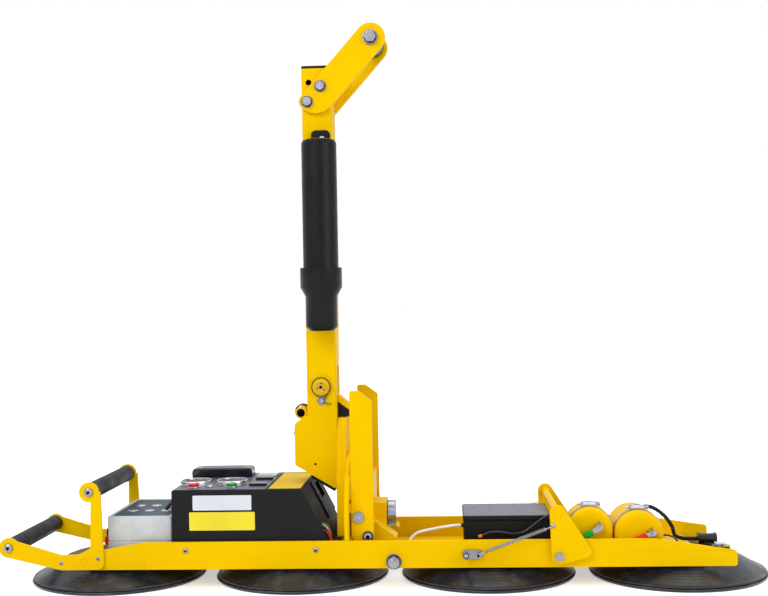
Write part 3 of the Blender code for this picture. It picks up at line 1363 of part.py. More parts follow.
# Document tube and its pull-off cap
def build_document_tube(mast, looks):
    y = TUBE_Y
    bend, wall = TUBE_ROUND, TUBE_WALL
    body = turned(
        [
            (0.0, TUBE_TOP),
            (TUBE_RADIUS - bend, TUBE_TOP),
            (TUBE_RADIUS - CORNER_CUT * bend, TUBE_TOP - CORNER_CUT * bend),
            (TUBE_RADIUS, TUBE_TOP - bend),
            (TUBE_RADIUS, TUBE_END),
            (TUBE_RADIUS - wall, TUBE_END),
            (TUBE_RADIUS - wall, TUBE_TOP - wall - bend),
            (TUBE_RADIUS - wall - bend, TUBE_TOP - wall),
            (0.0, TUBE_TOP - wall),
        ],
        (TUBE_X, y, 0.0),
        "Z",
    )
    tube = piece("document_tube", body, looks["black_plastic"], mast)
    back = -(MAST_HALF + FIT)
    reach = y + TUBE_RADIUS - 0.5 * wall
    tab = rounded(
        [
            (TUBE_X - TAB_HALF_WIDTH, COLLAR_TOP + TAB_GAP, 0.0),
            (TUBE_X + TAB_HALF_WIDTH, COLLAR_TOP + TAB_GAP, 0.0),
            (TUBE_X + TAB_HALF_WIDTH, TAB_TOP, TAB_ROUND),
            (TUBE_X - TAB_HALF_WIDTH, TAB_TOP, TAB_ROUND),
        ]
    )
    join(tube, prism(tab, reach, back, "Y"))
    cut(tube, rod(TUBE_X, y, TUBE_RADIUS - wall, TUBE_END - FIT, TUBE_TOP - wall - bend, "Z"))


def build_document_cap(cap, looks):
    inner = TUBE_RADIUS + FIT
    wall = TUBE_WALL
    bend = CUP_ROUND
    profile = [
        (inner, COLLAR_TOP),
        (inner, TUBE_END - FIT),
        (CUP_RADIUS - wall, TUBE_END - FIT - wall),
        (CUP_RADIUS - wall, CUP_BOTTOM + wall + bend),
        (CUP_RADIUS - wall - bend, CUP_BOTTOM + wall),
        (0.0, CUP_BOTTOM + wall),
        (0.0, CUP_BOTTOM),
        (CUP_RADIUS - bend, CUP_BOTTOM),
        (CUP_RADIUS, CUP_BOTTOM + bend),
        (CUP_RADIUS, COLLAR_CHAMFER_END),
        (COLLAR_RADIUS, COLLAR_BOTTOM),
        (COLLAR_RADIUS, COLLAR_TOP),
    ]
    shape = turned(profile, (TUBE_X, TUBE_Y, 0.0), "Z", closed=True)
    piece("document_tube_cap", shape, looks["black_plastic"], cap)


def build_all():
    clear_scene()
    looks = {
        "paint": material("yellow_paint", (0.90, 0.55, 0.006), 0.35),
        "paint_light": material("yellow_paint_light", (0.95, 0.66, 0.010), 0.35),
        "rubber": material("black_rubber", (0.012, 0.012, 0.013), 0.35),
        "grip": material("grip_rubber", (0.040, 0.038, 0.050), 0.60),
        "steel": material("zinc_steel", (0.62, 0.63, 0.66), 0.35, 1.0),
        "chrome": material("chrome", (0.75, 0.76, 0.80), 0.12, 1.0),
        "battery": material("battery_case", (0.72, 0.74, 0.77), 0.45),
        "black_sheet": material("black_sheet", (0.015, 0.015, 0.017), 0.50),
        "black_plastic": material("black_plastic", (0.018, 0.018, 0.021), 0.40),
        "gloss_black": material("gloss_black", (0.006, 0.006, 0.007), 0.12),
        "white_cable": material("white_cable", (0.75, 0.77, 0.80), 0.45),
        "red_plastic": material("red_plastic", (0.70, 0.010, 0.010), 0.30),
        "green_plastic": material("green_plastic", (0.005, 0.35, 0.045), 0.30),
    }
    beam = group("beam", (0.0, 0.0, 0.0))
    fork = group("fork_axis", (PIVOT[0], 0.0, PIVOT[1]), beam)
    mast = group("mast_axis", (ARCH_RIGHT, 0.0, SHAFT_Z), fork)
    lever = group("index_lever_axis", (LEVER_PIVOT[0], 0.0, LEVER_PIVOT[1]), mast)
    cap = group("document_cap_slide", (TUBE_X, TUBE_Y, COLLAR_TOP), mast)
    build_pads(beam, looks)
    build_rails(beam, looks)
    build_deck(beam, looks)
    build_pivot_pins(beam, looks)
    build_handle(beam, looks)
    build_battery(beam, looks)
    build_control_box(beam, looks)
    build_panel(beam, looks)
    build_buttons(beam, looks)
    build_pump_box(beam, looks)
    build_reservoirs(beam, looks)
    build_bail(beam, looks)
    build_bail_mounts(beam, looks)
    build_hoses(beam, looks)
    build_fork(fork, looks)
    build_index_disc(fork, looks)
    build_bearing_block(fork, looks)
    build_mast(mast, looks)
    build_foot(mast, looks)
    build_arch(mast, looks)
    build_index_lever(lever, looks)
    build_bracket(mast, looks)
    build_document_tube(mast, looks)
    build_document_cap(cap, looks)


build_all()
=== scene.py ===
"""Looks of the inline vacuum lifter: finishes, fasteners, gauges, springs, plates, wires, stage and camera.

Every operator dresses one group of pieces of the fixed frame. Lengths are metres, apart from the points
that mm() and route() take in millimetres. x runs along the beam.
"""

import json
import math

import bmesh
import bpy
from bpy.props import FloatProperty, FloatVectorProperty, IntProperty, PointerProperty
from mathutils import Matrix, Vector

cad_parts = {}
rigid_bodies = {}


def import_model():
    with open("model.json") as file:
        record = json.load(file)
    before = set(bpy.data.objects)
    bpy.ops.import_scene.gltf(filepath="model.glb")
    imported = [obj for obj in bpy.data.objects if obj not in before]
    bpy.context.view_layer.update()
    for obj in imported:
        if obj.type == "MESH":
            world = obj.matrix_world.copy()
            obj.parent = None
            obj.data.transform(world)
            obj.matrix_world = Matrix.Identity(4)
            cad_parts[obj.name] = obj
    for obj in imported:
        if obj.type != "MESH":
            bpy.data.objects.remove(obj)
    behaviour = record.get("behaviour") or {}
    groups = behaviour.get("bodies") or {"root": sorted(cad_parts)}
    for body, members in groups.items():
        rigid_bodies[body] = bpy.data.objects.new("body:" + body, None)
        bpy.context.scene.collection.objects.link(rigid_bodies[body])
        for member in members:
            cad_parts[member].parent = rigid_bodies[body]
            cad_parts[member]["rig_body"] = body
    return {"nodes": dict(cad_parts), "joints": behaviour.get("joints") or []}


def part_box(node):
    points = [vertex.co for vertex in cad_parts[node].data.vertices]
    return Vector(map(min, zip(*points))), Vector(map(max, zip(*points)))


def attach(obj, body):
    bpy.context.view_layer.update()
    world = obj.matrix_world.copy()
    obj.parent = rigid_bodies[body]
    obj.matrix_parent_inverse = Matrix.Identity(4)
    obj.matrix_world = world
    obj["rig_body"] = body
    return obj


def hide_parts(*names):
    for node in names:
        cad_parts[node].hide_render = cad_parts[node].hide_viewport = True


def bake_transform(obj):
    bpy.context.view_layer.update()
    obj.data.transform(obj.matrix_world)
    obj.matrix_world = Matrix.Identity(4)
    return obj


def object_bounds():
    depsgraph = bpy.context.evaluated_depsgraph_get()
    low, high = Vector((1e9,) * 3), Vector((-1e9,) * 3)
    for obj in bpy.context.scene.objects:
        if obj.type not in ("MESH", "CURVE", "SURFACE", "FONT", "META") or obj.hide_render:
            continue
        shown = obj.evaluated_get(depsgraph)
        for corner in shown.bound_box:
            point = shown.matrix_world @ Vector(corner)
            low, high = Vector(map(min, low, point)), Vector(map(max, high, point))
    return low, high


bl_info = {
    "name": "Inline Vacuum Lifter Looks",
    "version": (1, 0, 0),
    "blender": (4, 5, 0),
    "location": "3D View > Sidebar > Lifter",
    "description": "Dresses the frame of an inline vacuum lifter",
    "category": "Object",
}

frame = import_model()
CAD_LOW, CAD_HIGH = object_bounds()

STEPS, MIDDLE_STEPS, SMALL_STEPS = 64, 48, 24  # corners of round pieces
LIFT = 0.0002  # gap that keeps two faces apart
WASHER_RISE = 0.16  # thickness of a washer by its radius
FIRST_PAD, LAST_PAD = "pad_1", "pad_4"
SIDES = (("front", -1.0), ("rear", 1.0))


def low(node):
    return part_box(node)[0]


def high(node):
    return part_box(node)[1]


def box_of(node):
    return low(node), high(node)


def middle(node):
    return 0.5 * (low(node) + high(node))


def axis_of(node, axis):
    """The node's middle, with 0 for its place along an axis."""
    place = middle(node)
    place["XYZ".index(axis)] = 0.0
    return place


def outer_face(node, outward):
    return low(node).y if outward < 0 else high(node).y


def joint_place(body):
    return next(joint for joint in frame["joints"] if joint["child"] == body)["pos_m"]


def body_holding(node):
    return frame["nodes"][node]["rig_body"]


def row(x, y, z):
    """A point whose x is counted from the middle of the pad row."""
    return Vector((0.5 * (middle(FIRST_PAD).x + middle(LAST_PAD).x) + x, y, z))


def route(y, *places):
    """Points of a cord in millimetres, at one y and with x counted from the middle of the pad row."""
    return [row(0.001 * x, 0.001 * y, 0.001 * z) for x, z in places]


def mm(*points):
    """Points of a profile in millimetres; a third value is a number of sides and stays as it is."""
    return [(0.001 * a, 0.001 * b, *sides) for a, b, *sides in points]


def colour_property(name, description, default):
    return FloatVectorProperty(
        name=name, description=description, default=default, subtype="COLOR", min=0.0, max=1.0
    )


def number_property(name, description, default, **more):
    return FloatProperty(name=name, description=description, default=default, **more)


def length_property(name, description, default):
    return number_property(name, description, default, unit="LENGTH")


def angle_property(name, description, degrees):
    return number_property(name, description, math.radians(degrees), subtype="ANGLE")


class LifterColours(bpy.types.PropertyGroup):
    """Colours of the lifter's finishes"""

    paint: colour_property("Paint", "Yellow powder coat", (0.895, 0.560, 0.001))
    paint_shade: colour_property("Paint shade", "Yellow where the coat is thinner", (0.850, 0.515, 0.001))
    rubber: colour_property("Pad rubber", "Black pad rubber", (0.0120, 0.0135, 0.0185))
    rubber_dust: colour_property("Pad dust", "Dust on the pad rubber", (0.068, 0.080, 0.112))
    grip: colour_property("Grip", "Dark foam of the grips", (0.0105, 0.0105, 0.0165))
    steel: colour_property("Zinc", "Zinc-plated steel", (0.30, 0.31, 0.34))
    brass: colour_property("Brass", "Brass fittings", (0.50, 0.31, 0.035))
    sheet: colour_property("Black sheet", "Black powder-coated sheet", (0.0075, 0.0078, 0.0090))
    plastic: colour_property("Black plastic", "Black moulded plastic", (0.0080, 0.0083, 0.0090))
    battery: colour_property("Battery case", "Light grey battery case", (0.52, 0.55, 0.57))
    battery_top: colour_property("Battery top", "Dark teal battery top", (0.012, 0.046, 0.072))
    white: colour_property("White plate", "Blank white plate", (0.74, 0.79, 0.86))
    plate: colour_property("Yellow plate", "Blank yellow plate", (0.90, 0.74, 0.040))
    red: colour_property("Red", "Red lever and button", (0.72, 0.008, 0.008))
    green: colour_property("Green", "Green lever and button", (0.004, 0.30, 0.020))
    orange: colour_property("Orange", "Orange cable end", (0.85, 0.22, 0.010))
    lid: colour_property("Pump lid", "Grey top of the pump lid", (0.112, 0.100, 0.138))


class LifterSizes(bpy.types.PropertyGroup):
    """Sizes of the small pieces"""

    edge: length_property("Edge", "Rounding of plate edges", 0.0011)
    big_head: length_property("Large bolt", "Radius of the M12 heads over corners", 0.0098)
    big_washer: length_property("Large washer", "Radius of the M12 washers", 0.0122)
    small_head: length_property("Small screw", "Radius of the rail screw heads", 0.0055)
    flange_nut: length_property("Flange nut", "Radius of the rail's flange nut", 0.0150)
    spring_coil: length_property("Spring", "Outer radius of the bail springs", 0.0040)
    spring_wire: length_property("Spring wire", "Wire radius of the bail springs", 0.0010)
    spring_turns: IntProperty(name="Spring turns", description="Turns of each bail spring", default=30, min=8)
    plate_thickness: length_property("Plate", "Thickness of the blank plates", 0.0004)
    wire: length_property("Wire", "Radius of the single wires", 0.0012)


class LifterStudio(bpy.types.PropertyGroup):
    """Camera, light and floor"""

    place: FloatVectorProperty(
        name="Camera place",
        description="Camera position",
        default=(0.1270, -2.3024, 0.5296),
        subtype="TRANSLATION",
    )
    yaw: angle_property("Yaw", "Turn towards -X", 3.134)
    pitch: angle_property("Pitch", "Tilt upwards", 0.784)
    roll: angle_property("Roll", "Lean of the camera", 1.086)
    lens: number_property("Lens", "Focal length in millimetres on a 36 mm sensor", 52.88)
    key: number_property("Key light", "Power of the large front light in watts", 51.0)
    fill: number_property("Fill light", "Power of the side light in watts", 22.0)
    rim: number_property("Top light", "Power of the overhead light in watts", 34.0)
    ambient: number_property("Ambient", "Strength of the even surrounding light", 0.46)
    floor: colour_property("Floor", "Pale floor", (0.90, 0.90, 0.90))


# Materials
MOST = (0.3, 0.7)  # the values that most of a noise lies between
NONE_TO_ALL = (0.0, 1.0)
EVEN = (1.0, 1.0, 1.0)
WHITE = (1.0, 1.0, 1.0, 1.0)


def tree_of(name):
    """A new material with its node tree and its Principled shader."""
    made = bpy.data.materials.new(name)
    made.use_nodes = True
    return made, made.node_tree, made.node_tree.nodes["Principled BSDF"]


def shader_node(tree, kind, inputs, **settings):
    """A new node; each of its inputs takes a socket or a value."""
    made = tree.nodes.new(kind)
    for name, value in settings.items():
        setattr(made, name, value)
    for key, value in inputs.items():
        if isinstance(value, bpy.types.NodeSocket):
            tree.links.new(value, made.inputs[key])
        else:
            made.inputs[key].default_value = value
    return made


def place_socket(tree, stretch=EVEN):
    here = shader_node(tree, "ShaderNodeTexCoord", {}).outputs["Object"]
    return shader_node(tree, "ShaderNodeMapping", {"Vector": here, "Scale": stretch}).outputs["Vector"]


def noise(tree, scale, detail=3.0, stretch=EVEN):
    inputs = {"Vector": place_socket(tree, stretch), "Scale": scale, "Detail": detail}
    return shader_node(tree, "ShaderNodeTexNoise", inputs).outputs[0]


def remap(tree, value, source, target):
    return shader_node(tree, "ShaderNodeMapRange", dict(enumerate((value, *source, *target)))).outputs[0]


def spots(tree, scale, source, target=NONE_TO_ALL, detail=3.0, stretch=EVEN):
    """Noise, remapped from two values to two others."""
    return remap(tree, noise(tree, scale, detail, stretch), source, target)


def mixed(tree, factor, first, second):
    """Colour between two colours; either may be a socket."""
    inputs = {0: factor}
    for slot, tone in ((6, first), (7, second)):
        inputs[slot] = tone if isinstance(tone, bpy.types.NodeSocket) else (*tone[:3], 1.0)
    return shader_node(tree, "ShaderNodeMix", inputs, data_type="RGBA").outputs[2]


def scaled(tone, factor, more=0.0):
    return [min(1.0, factor * part + more) for part in tone]


def feed(shader, name, socket):
    shader.id_data.links.new(socket, shader.inputs[name])


def relief(shader, height, strength, distance):
    inputs = {"Strength": strength, "Distance": distance, "Height": height}
    feed(shader, "Normal", shader_node(shader.id_data, "ShaderNodeBump", inputs).outputs["Normal"])


def mirror(shader, level):
    """How strongly a non-metal mirrors its surroundings; 0.5 is the usual level."""
    shader.inputs["Specular IOR Level"].default_value = level


def painted(name, tone, shade):
    """Powder coat: faint patches, fine orange peel, and a few dark scuffs."""
    made, tree, shader = tree_of(name)
    base = mixed(tree, spots(tree, 9.0, (0.30, 0.75)), tone, shade)
    scuffs = spots(tree, 95.0, (0.68, 0.78), (0.0, 0.30), 4.0, (1.0, 1.0, 0.45))
    feed(shader, "Base Color", mixed(tree, scuffs, base, scaled(shade, 0.45)))
    feed(shader, "Roughness", spots(tree, 40.0, MOST, (0.44, 0.56)))
    relief(shader, noise(tree, 750.0, 2.0), 0.12, 0.0004)
    mirror(shader, 0.25)
    shader.inputs["Specular Tint"].default_value = (*tone, 1.0)
    return made


def rubber(name, tone, dust, gloss, amount, level):
    """Rubber with dust that lies in soft spots."""
    made, tree, shader = tree_of(name)
    dusty = spots(tree, 42.0, (0.48, 0.80), (0.0, amount), 5.0)
    feed(shader, "Base Color", mixed(tree, dusty, tone, dust))
    feed(shader, "Roughness", spots(tree, 26.0, MOST, (gloss, gloss + 0.16)))
    mirror(shader, level)
    relief(shader, noise(tree, 520.0, 3.0), 0.10, 0.0004)
    return made


def moulded(name, tone, roughness, grain=1100.0, depth=0.20, level=0.12):
    """Moulded plastic or fine powder coat with a small grain."""
    made, tree, shader = tree_of(name)
    uneven = spots(tree, 30.0, (0.35, 0.75), (0.0, 0.7), 4.0)
    feed(shader, "Base Color", mixed(tree, uneven, tone, scaled(tone, 1.35, 0.002)))
    feed(shader, "Roughness", spots(tree, 60.0, MOST, (roughness - 0.04, roughness + 0.08)))
    mirror(shader, level)
    relief(shader, noise(tree, grain, 2.0), depth, 0.0003)
    return made


def plated(name, tone, roughness):
    """Bare or plated metal with drawn lines and small stains."""
    made, tree, shader = tree_of(name)
    stains = spots(tree, 70.0, (0.40, 0.72), (0.0, 0.6), 4.0)
    feed(shader, "Base Color", mixed(tree, stains, tone, scaled(tone, 0.68)))
    lines = noise(tree, 240.0, 2.0, (1.0, 1.0, 14.0))
    feed(shader, "Roughness", remap(tree, lines, MOST, (roughness - 0.05, roughness + 0.12)))
    shader.inputs["Metallic"].default_value = 1.0
    relief(shader, lines, 0.03, 0.0001)
    return made


def plate_film(name, tone):
    """Smooth film of a blank plate, slightly uneven in tone."""
    made, tree, shader = tree_of(name)
    feed(shader, "Base Color", mixed(tree, spots(tree, 14.0, MOST), tone, scaled(tone, 0.90)))
    feed(shader, "Roughness", spots(tree, 50.0, MOST, (0.52, 0.64)))
    mirror(shader, 0.12)
    return made


def clear(name):
    made, tree, shader = tree_of(name)
    shader.inputs["Transmission Weight"].default_value = 1.0
    shader.inputs["IOR"].default_value = 1.02
    feed(shader, "Roughness", spots(tree, 45.0, (0.3, 0.8), (0.01, 0.10)))
    return made


def recipes(colours):
    """For every finish its maker and what that takes: colour, then roughness, grain, depth and level."""
    return {
        "paint": (painted, colours.paint, colours.paint_shade),
        "rubber": (rubber, colours.rubber, colours.rubber_dust, 0.26, 0.65, 0.40),
        "grip": (rubber, colours.grip, scaled(colours.grip, 1.8), 0.40, 0.50, 0.16),
        "steel": (plated, colours.steel, 0.27),
        "chrome": (plated, (0.52, 0.52, 0.57), 0.12),
        "zinc": (plated, (0.25, 0.26, 0.285), 0.30),
        "dark_steel": (plated, (0.075, 0.075, 0.085), 0.26),
        "brass": (plated, colours.brass, 0.26),
        "sheet": (moulded, colours.sheet, 0.56, 900.0, 0.25, 0.14),
        "plastic": (moulded, colours.plastic, 0.42),
        "tube": (moulded, (0.0048, 0.0050, 0.0055), 0.32, 300.0, 0.04, 0.14),
        # near-black without reflection: painted shade inside holes, sockets and slots
        "void": (moulded, (0.0012, 0.0012, 0.0014), 0.70, 900.0, 0.10, 0.02),
        "gloss": (moulded, (0.004, 0.004, 0.005), 0.12, 400.0, 0.03, 0.40),
        "battery": (moulded, colours.battery, 0.42, 700.0, 0.10, 0.30),
        "battery_top": (moulded, colours.battery_top, 0.40, 320.0, 0.12, 0.14),
        "lid": (moulded, colours.lid, 0.40, 420.0, 0.60, 0.50),
        "white": (plate_film, colours.white),
        "plate": (plate_film, colours.plate),
        "panel": (moulded, (0.070, 0.066, 0.120), 0.34, 500.0, 0.06, 0.35),
        "top_plate": (plate_film, (0.80, 0.54, 0.004)),
        "dial": (moulded, (0.024, 0.020, 0.052), 0.40, 500.0, 0.04, 0.10),
        "red": (moulded, colours.red, 0.28, 500.0, 0.05),
        "green": (moulded, colours.green, 0.28, 500.0, 0.05),
        "cyan": (moulded, (0.010, 0.25, 0.38), 0.36),
        "orange": (moulded, colours.orange, 0.35),
        "cable": (moulded, colours.white, 0.40, 500.0, 0.08),
        "glass": (clear,),
    }


def look(name):
    """The finish of that name, made the first time that a piece asks for it."""
    found = bpy.data.materials.get(f"lifter_{name}")
    if found:
        return found
    maker, *values = recipes(bpy.context.scene.lifter_colours)[name]
    return maker(f"lifter_{name}", *values)


# Meshes
AXES = {"X": Vector((1, 0, 0)), "Y": Vector((0, 1, 0)), "Z": Vector((0, 0, 1))}
SIDEWAYS = {"X": ((0, 1, 0), (0, 0, 1)), "Y": ((0, 0, 1), (1, 0, 0)), "Z": ((1, 0, 0), (0, 1, 0))}


def ring_radius(radius, sides, angle):
    """Distance of a polygon's edge from its centre, for one direction; 0 sides is a circle."""
    if not sides:
        return radius
    part = 2.0 * math.pi / sides
    return radius * math.cos(0.5 * part) / math.cos((angle % part) - 0.5 * part)


def bridge(mesh, one, two):
    """Faces between two rings of points; either ring may be a single point."""
    count = max(len(one), len(two))
    for step in range(count):
        after = (step + 1) % count
        corners = [one[step % len(one)], one[after % len(one)], two[after % len(two)], two[step % len(two)]]
        mesh.faces.new(list(dict.fromkeys(corners)))


def turned(profile, centre, axis, steps=STEPS, closed=False, outward=1.0):
    """Rings along an axis: the profile holds (radius, place) or (radius, place, number of sides)."""
    mesh = bmesh.new()
    first, second = (Vector(side) for side in SIDEWAYS[axis])
    rings = []
    for radius, along, *sides in profile:
        base = Vector(centre) + AXES[axis] * (outward * along)
        ring = []
        for step in range(steps if radius > 0.0 else 1):
            angle = 2.0 * math.pi * step / steps
            reach = ring_radius(radius, sides[0] if sides else 0, angle)
            ring.append(mesh.verts.new(base + reach * (first * math.cos(angle) + second * math.sin(angle))))
        rings.append(ring)
    for one, two in zip(rings, rings[1:] + rings[:closed]):
        bridge(mesh, one, two)
    bmesh.ops.recalc_face_normals(mesh, faces=mesh.faces)
    return mesh


def disc(centre, radius, near, far, axis, steps=STEPS, outward=1.0):
    profile = [(0.0, near), (radius, near), (radius, far), (0.0, far)]
    return turned(profile, centre, axis, steps, outward=outward)


def tube(centre, inner, outer, near, far, axis, outward=1.0):
    profile = [(inner, near), (outer, near), (outer, far), (inner, far)]
    return turned(profile, centre, axis, MIDDLE_STEPS, True, outward)


def extruded(outline, near, far, axis="Z"):
    """Slab between two planes; the outline holds (x, z) along Y, (x, y) along Z and (y, z) along X."""
    mesh = bmesh.new()

    def point(a, b, along):
        return {"X": (along, a, b), "Y": (a, along, b), "Z": (a, b, along)}[axis]

    base = mesh.faces.new([mesh.verts.new(point(a, b, near)) for a, b in outline])
    grown = bmesh.ops.extrude_face_region(mesh, geom=[base])
    moved = [item for item in grown["geom"] if isinstance(item, bmesh.types.BMVert)]
    bmesh.ops.translate(mesh, verts=moved, vec=point(0.0, 0.0, far - near))
    bmesh.ops.recalc_face_normals(mesh, faces=mesh.faces)
    return mesh


def bend_points(a, b, radius, angles):
    """Points on a circle round (a, b), at angles in degrees."""
    turns = [math.radians(angle) for angle in angles]
    return [(a + radius * math.cos(turn), b + radius * math.sin(turn)) for turn in turns]


def rounded(left, bottom, right, top, radius):
    """Outline of a rectangle with round corners."""
    points = []
    for start, x, y in ((0, right, top), (90, left, top), (180, left, bottom), (270, right, bottom)):
        across, up = (1 if x == right else -1), (1 if y == top else -1)
        points += bend_points(x - across * radius, y - up * radius, radius, range(start, start + 91, 15))
    return points


def inset(bottom, top, gap, radius):
    """Outline of a box seen from above, drawn in by a gap."""
    return rounded(bottom.x + gap, bottom.y + gap, top.x - gap, top.y - gap, radius)


def framed(outer, inner, near, far):
    """Prism along Z between an outer and an inner outline with as many corners."""
    mesh = bmesh.new()
    loops = []
    for outline, z in ((outer, near), (outer, far), (inner, far), (inner, near)):
        loops.append([mesh.verts.new((x, y, z)) for x, y in outline])
    for one, two in zip(loops, loops[1:] + loops[:1]):
        bridge(mesh, one, two)
    bmesh.ops.recalc_face_normals(mesh, faces=mesh.faces)
    return mesh


def swept(points, radius, sides=12):
    """Round tube along points, closed at both ends; the radius may differ from point to point."""
    mesh = bmesh.new()
    points = [Vector(point) for point in points]
    radii = radius if isinstance(radius, (list, tuple)) else [radius] * len(points)
    up = Vector((0.0, 0.0, 1.0))
    turn = 2.0 * math.pi / sides
    rings = []
    for index, point in enumerate(points):
        along = (points[min(index + 1, len(points) - 1)] - points[max(index - 1, 0)]).normalized()
        side = up.cross(along)
        if side.length < 1e-3:
            side = Vector((1.0, 0.0, 0.0)).cross(along)
        side.normalize()
        up = along.cross(side)
        spokes = [side * math.cos(turn * i) + up * math.sin(turn * i) for i in range(sides)]
        rings.append([mesh.verts.new(point + radii[index] * spoke) for spoke in spokes])
    for one, two in zip(rings, rings[1:]):
        bridge(mesh, one, two)
    mesh.faces.new(rings[0])
    mesh.faces.new(rings[-1])
    bmesh.ops.recalc_face_normals(mesh, faces=mesh.faces)
    return mesh


def smooth_route(knots, spacing):
    """Points about one spacing apart on a smooth curve through the knots."""
    knots = [Vector(knot) for knot in knots]
    knots = [2 * knots[0] - knots[1], *knots, 2 * knots[-1] - knots[-2]]
    points = []
    for a, b, c, d in zip(knots, knots[1:], knots[2:], knots[3:]):
        steps = max(1, round((c - b).length / spacing))
        for step in range(steps):
            t = step / steps
            curve = 2 * b + (c - a) * t + (2 * a - 5 * b + 4 * c - d) * t * t + (3 * b - a - 3 * c + d) * t**3
            points.append(0.5 * curve)
    points.append(knots[-2])
    return points


def cord(knots, radius, sides=12, spacing=0.004):
    return swept(smooth_route(knots, spacing), radius, sides)


def merged(meshes):
    """One mesh from several."""
    whole = bmesh.new()
    for mesh in meshes:
        data = bpy.data.meshes.new("part")
        mesh.to_mesh(data)
        mesh.free()
        whole.from_mesh(data)
        bpy.data.meshes.remove(data)
    return whole


# Pieces
def object_of(name, mesh, finish, edge=0.0, angle=32.0):
    """Object with a finish, smooth shading by angle and, where asked, rounded edges."""
    data = bpy.data.meshes.new(name)
    mesh.to_mesh(data)
    mesh.free()
    made = bpy.data.objects.new(name, data)
    bpy.context.scene.collection.objects.link(made)
    data.materials.append(look(finish))
    if edge > 0.0:
        bevel = made.modifiers.new("edge", "BEVEL")
        bevel.width = edge
        bevel.segments = 3
        bevel.limit_method = "ANGLE"
        bevel.angle_limit = math.radians(40.0)
        bevel.harden_normals = True
    data.shade_smooth()
    data.set_sharp_from_angle(angle=math.radians(angle))
    return made


def piece(name, mesh, finish, body="beam", stands_for=(), edge=0.0):
    """A piece that rides on a body and may stand for nodes of the frame."""
    made = object_of(name, mesh, finish, edge)
    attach(made, body)
    if stands_for:
        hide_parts(*stands_for)
    return made


def stand_in(node, suffix, mesh, finish, edge=0.0):
    """A piece that stands for one node and rides on the body that holds it."""
    piece(f"{node}_{suffix}", mesh, finish, body_holding(node), (node,), edge)


def refined(node, finish, edge=0.0):
    """The node's own shape with clean faces, rounded edges and a finish."""
    mesh = bmesh.new()
    mesh.from_mesh(frame["nodes"][node].data)
    bmesh.ops.remove_doubles(mesh, verts=mesh.verts, dist=2e-6)
    bmesh.ops.dissolve_limit(mesh, angle_limit=math.radians(0.5), verts=mesh.verts, edges=mesh.edges)
    bmesh.ops.recalc_face_normals(mesh, faces=mesh.faces)
    stand_in(node, "finished", mesh, finish, edge)


# Fasteners: each stands on its place and points outwards
def flat_washer(place, outward, washer, axis="Y"):
    """Flat ring under a bolt head or a nut, with a small chamfer."""
    rise = WASHER_RISE * washer
    profile = [(0.0, 0.0), (washer, 0.0), (washer, 0.7 * rise), (0.95 * washer, rise), (0.0, rise)]
    return turned(profile, place, axis, MIDDLE_STEPS, outward=outward)


def painted_shadow_ring(place, outward, head, washer, axis="Y"):
    """Dark ring between a washer and a bolt head: a painted shadow under the head."""
    rise = WASHER_RISE * washer
    return tube(place, 0.80 * head, 1.14 * head, rise + 0.1 * LIFT, rise + 0.10 * head, axis, outward)


def hex_bolt(place, outward, head, washer, axis="Y"):
    """Chamfered hexagon head with a shallow stamp on top, over a washer."""
    rise = WASHER_RISE * washer
    top = rise + 0.72 * head
    stamp = top - 0.05 * head
    profile = [(0.0, 0.9 * rise), (head, 0.9 * rise, 6), (head, rise + 0.58 * head, 6), (0.86 * head, top)]
    profile += [(0.62 * head, top), (0.58 * head, stamp), (0.0, stamp)]
    return turned(profile, place, axis, SMALL_STEPS, outward=outward)


def hex_nut(place, outward, nut, washer, stud, axis="Y"):
    """Nut over a washer, and the stud's rounded end."""
    rise = WASHER_RISE * washer
    top = rise + 0.85 * nut
    end = top + 0.32 * nut
    profile = [(0.0, 0.9 * rise), (nut, 0.9 * rise, 6), (nut, top - 0.12 * nut, 6), (0.87 * nut, top)]
    profile += [(stud, top), (stud, top + 0.25 * nut), (0.8 * stud, end), (0.0, end)]
    return turned(profile, place, axis, SMALL_STEPS, outward=outward)


def socket_screw(place, outward, head, height, axis="Y"):
    """Round head with a hexagon socket."""
    profile = [(0.0, 0.0), (head, 0.0), (head, 0.85 * height), (0.92 * head, height), (0.55 * head, height, 6)]
    profile += [(0.50 * head, 0.45 * height, 6), (0.0, 0.40 * height)]
    return turned(profile, place, axis, SMALL_STEPS, outward=outward)


def dome_screw(place, outward, head, height, axis="Y"):
    """Button head with a small socket."""
    profile = [(0.0, 0.0), (head, 0.0)]
    for step in range(1, 6):
        angle = 0.5 * math.pi * step / 7.0
        profile.append((head * math.cos(angle), height * math.sin(angle)))
    profile += [(0.40 * head, height, 6), (0.36 * head, 0.45 * height, 6), (0.0, 0.40 * height)]
    return turned(profile, place, axis, SMALL_STEPS, outward=outward)


def socket_hole(place, outward, head, height, axis="Y"):
    """Dark hexagon that fills the socket of a screw: painted shade inside the socket."""
    near, far = 0.42 * height, 1.02 * height
    profile = [(0.0, near), (0.46 * head, near, 6), (0.46 * head, far, 6), (0.0, far)]
    return turned(profile, place, axis, SMALL_STEPS, outward=outward)


def socket_screws(group, side, outward, places, head, height):
    """Button heads on one side, and the painted shade in each head's socket."""
    for part, maker, finish in (("screws", dome_screw, "steel"), ("sockets", socket_hole, "void")):
        meshes = [maker(place, outward, head, height) for place in places]
        piece(f"{group}_{part}_{side}", merged(meshes), finish)


def ring_bead(centre, radius, thickness, axis):
    """A round bead, such as a weld or a torsion spring, round an axis."""
    return turned(bend_points(radius, 0.0, thickness, range(0, 360, 36)), centre, axis, closed=True)


class LifterOperator:
    """What the lifter's operators share"""

    bl_options = {"REGISTER", "UNDO"}

    def execute(self, context):
        self.build(context.scene)
        return {"FINISHED"}


# Stage
GLOW_DISTANCES = (1.0, 2.6)  # from the middle, where the floor's own white grows
GLOW_LEVELS = (0.50, 1.0)
FLOOR_REACH = 40.0


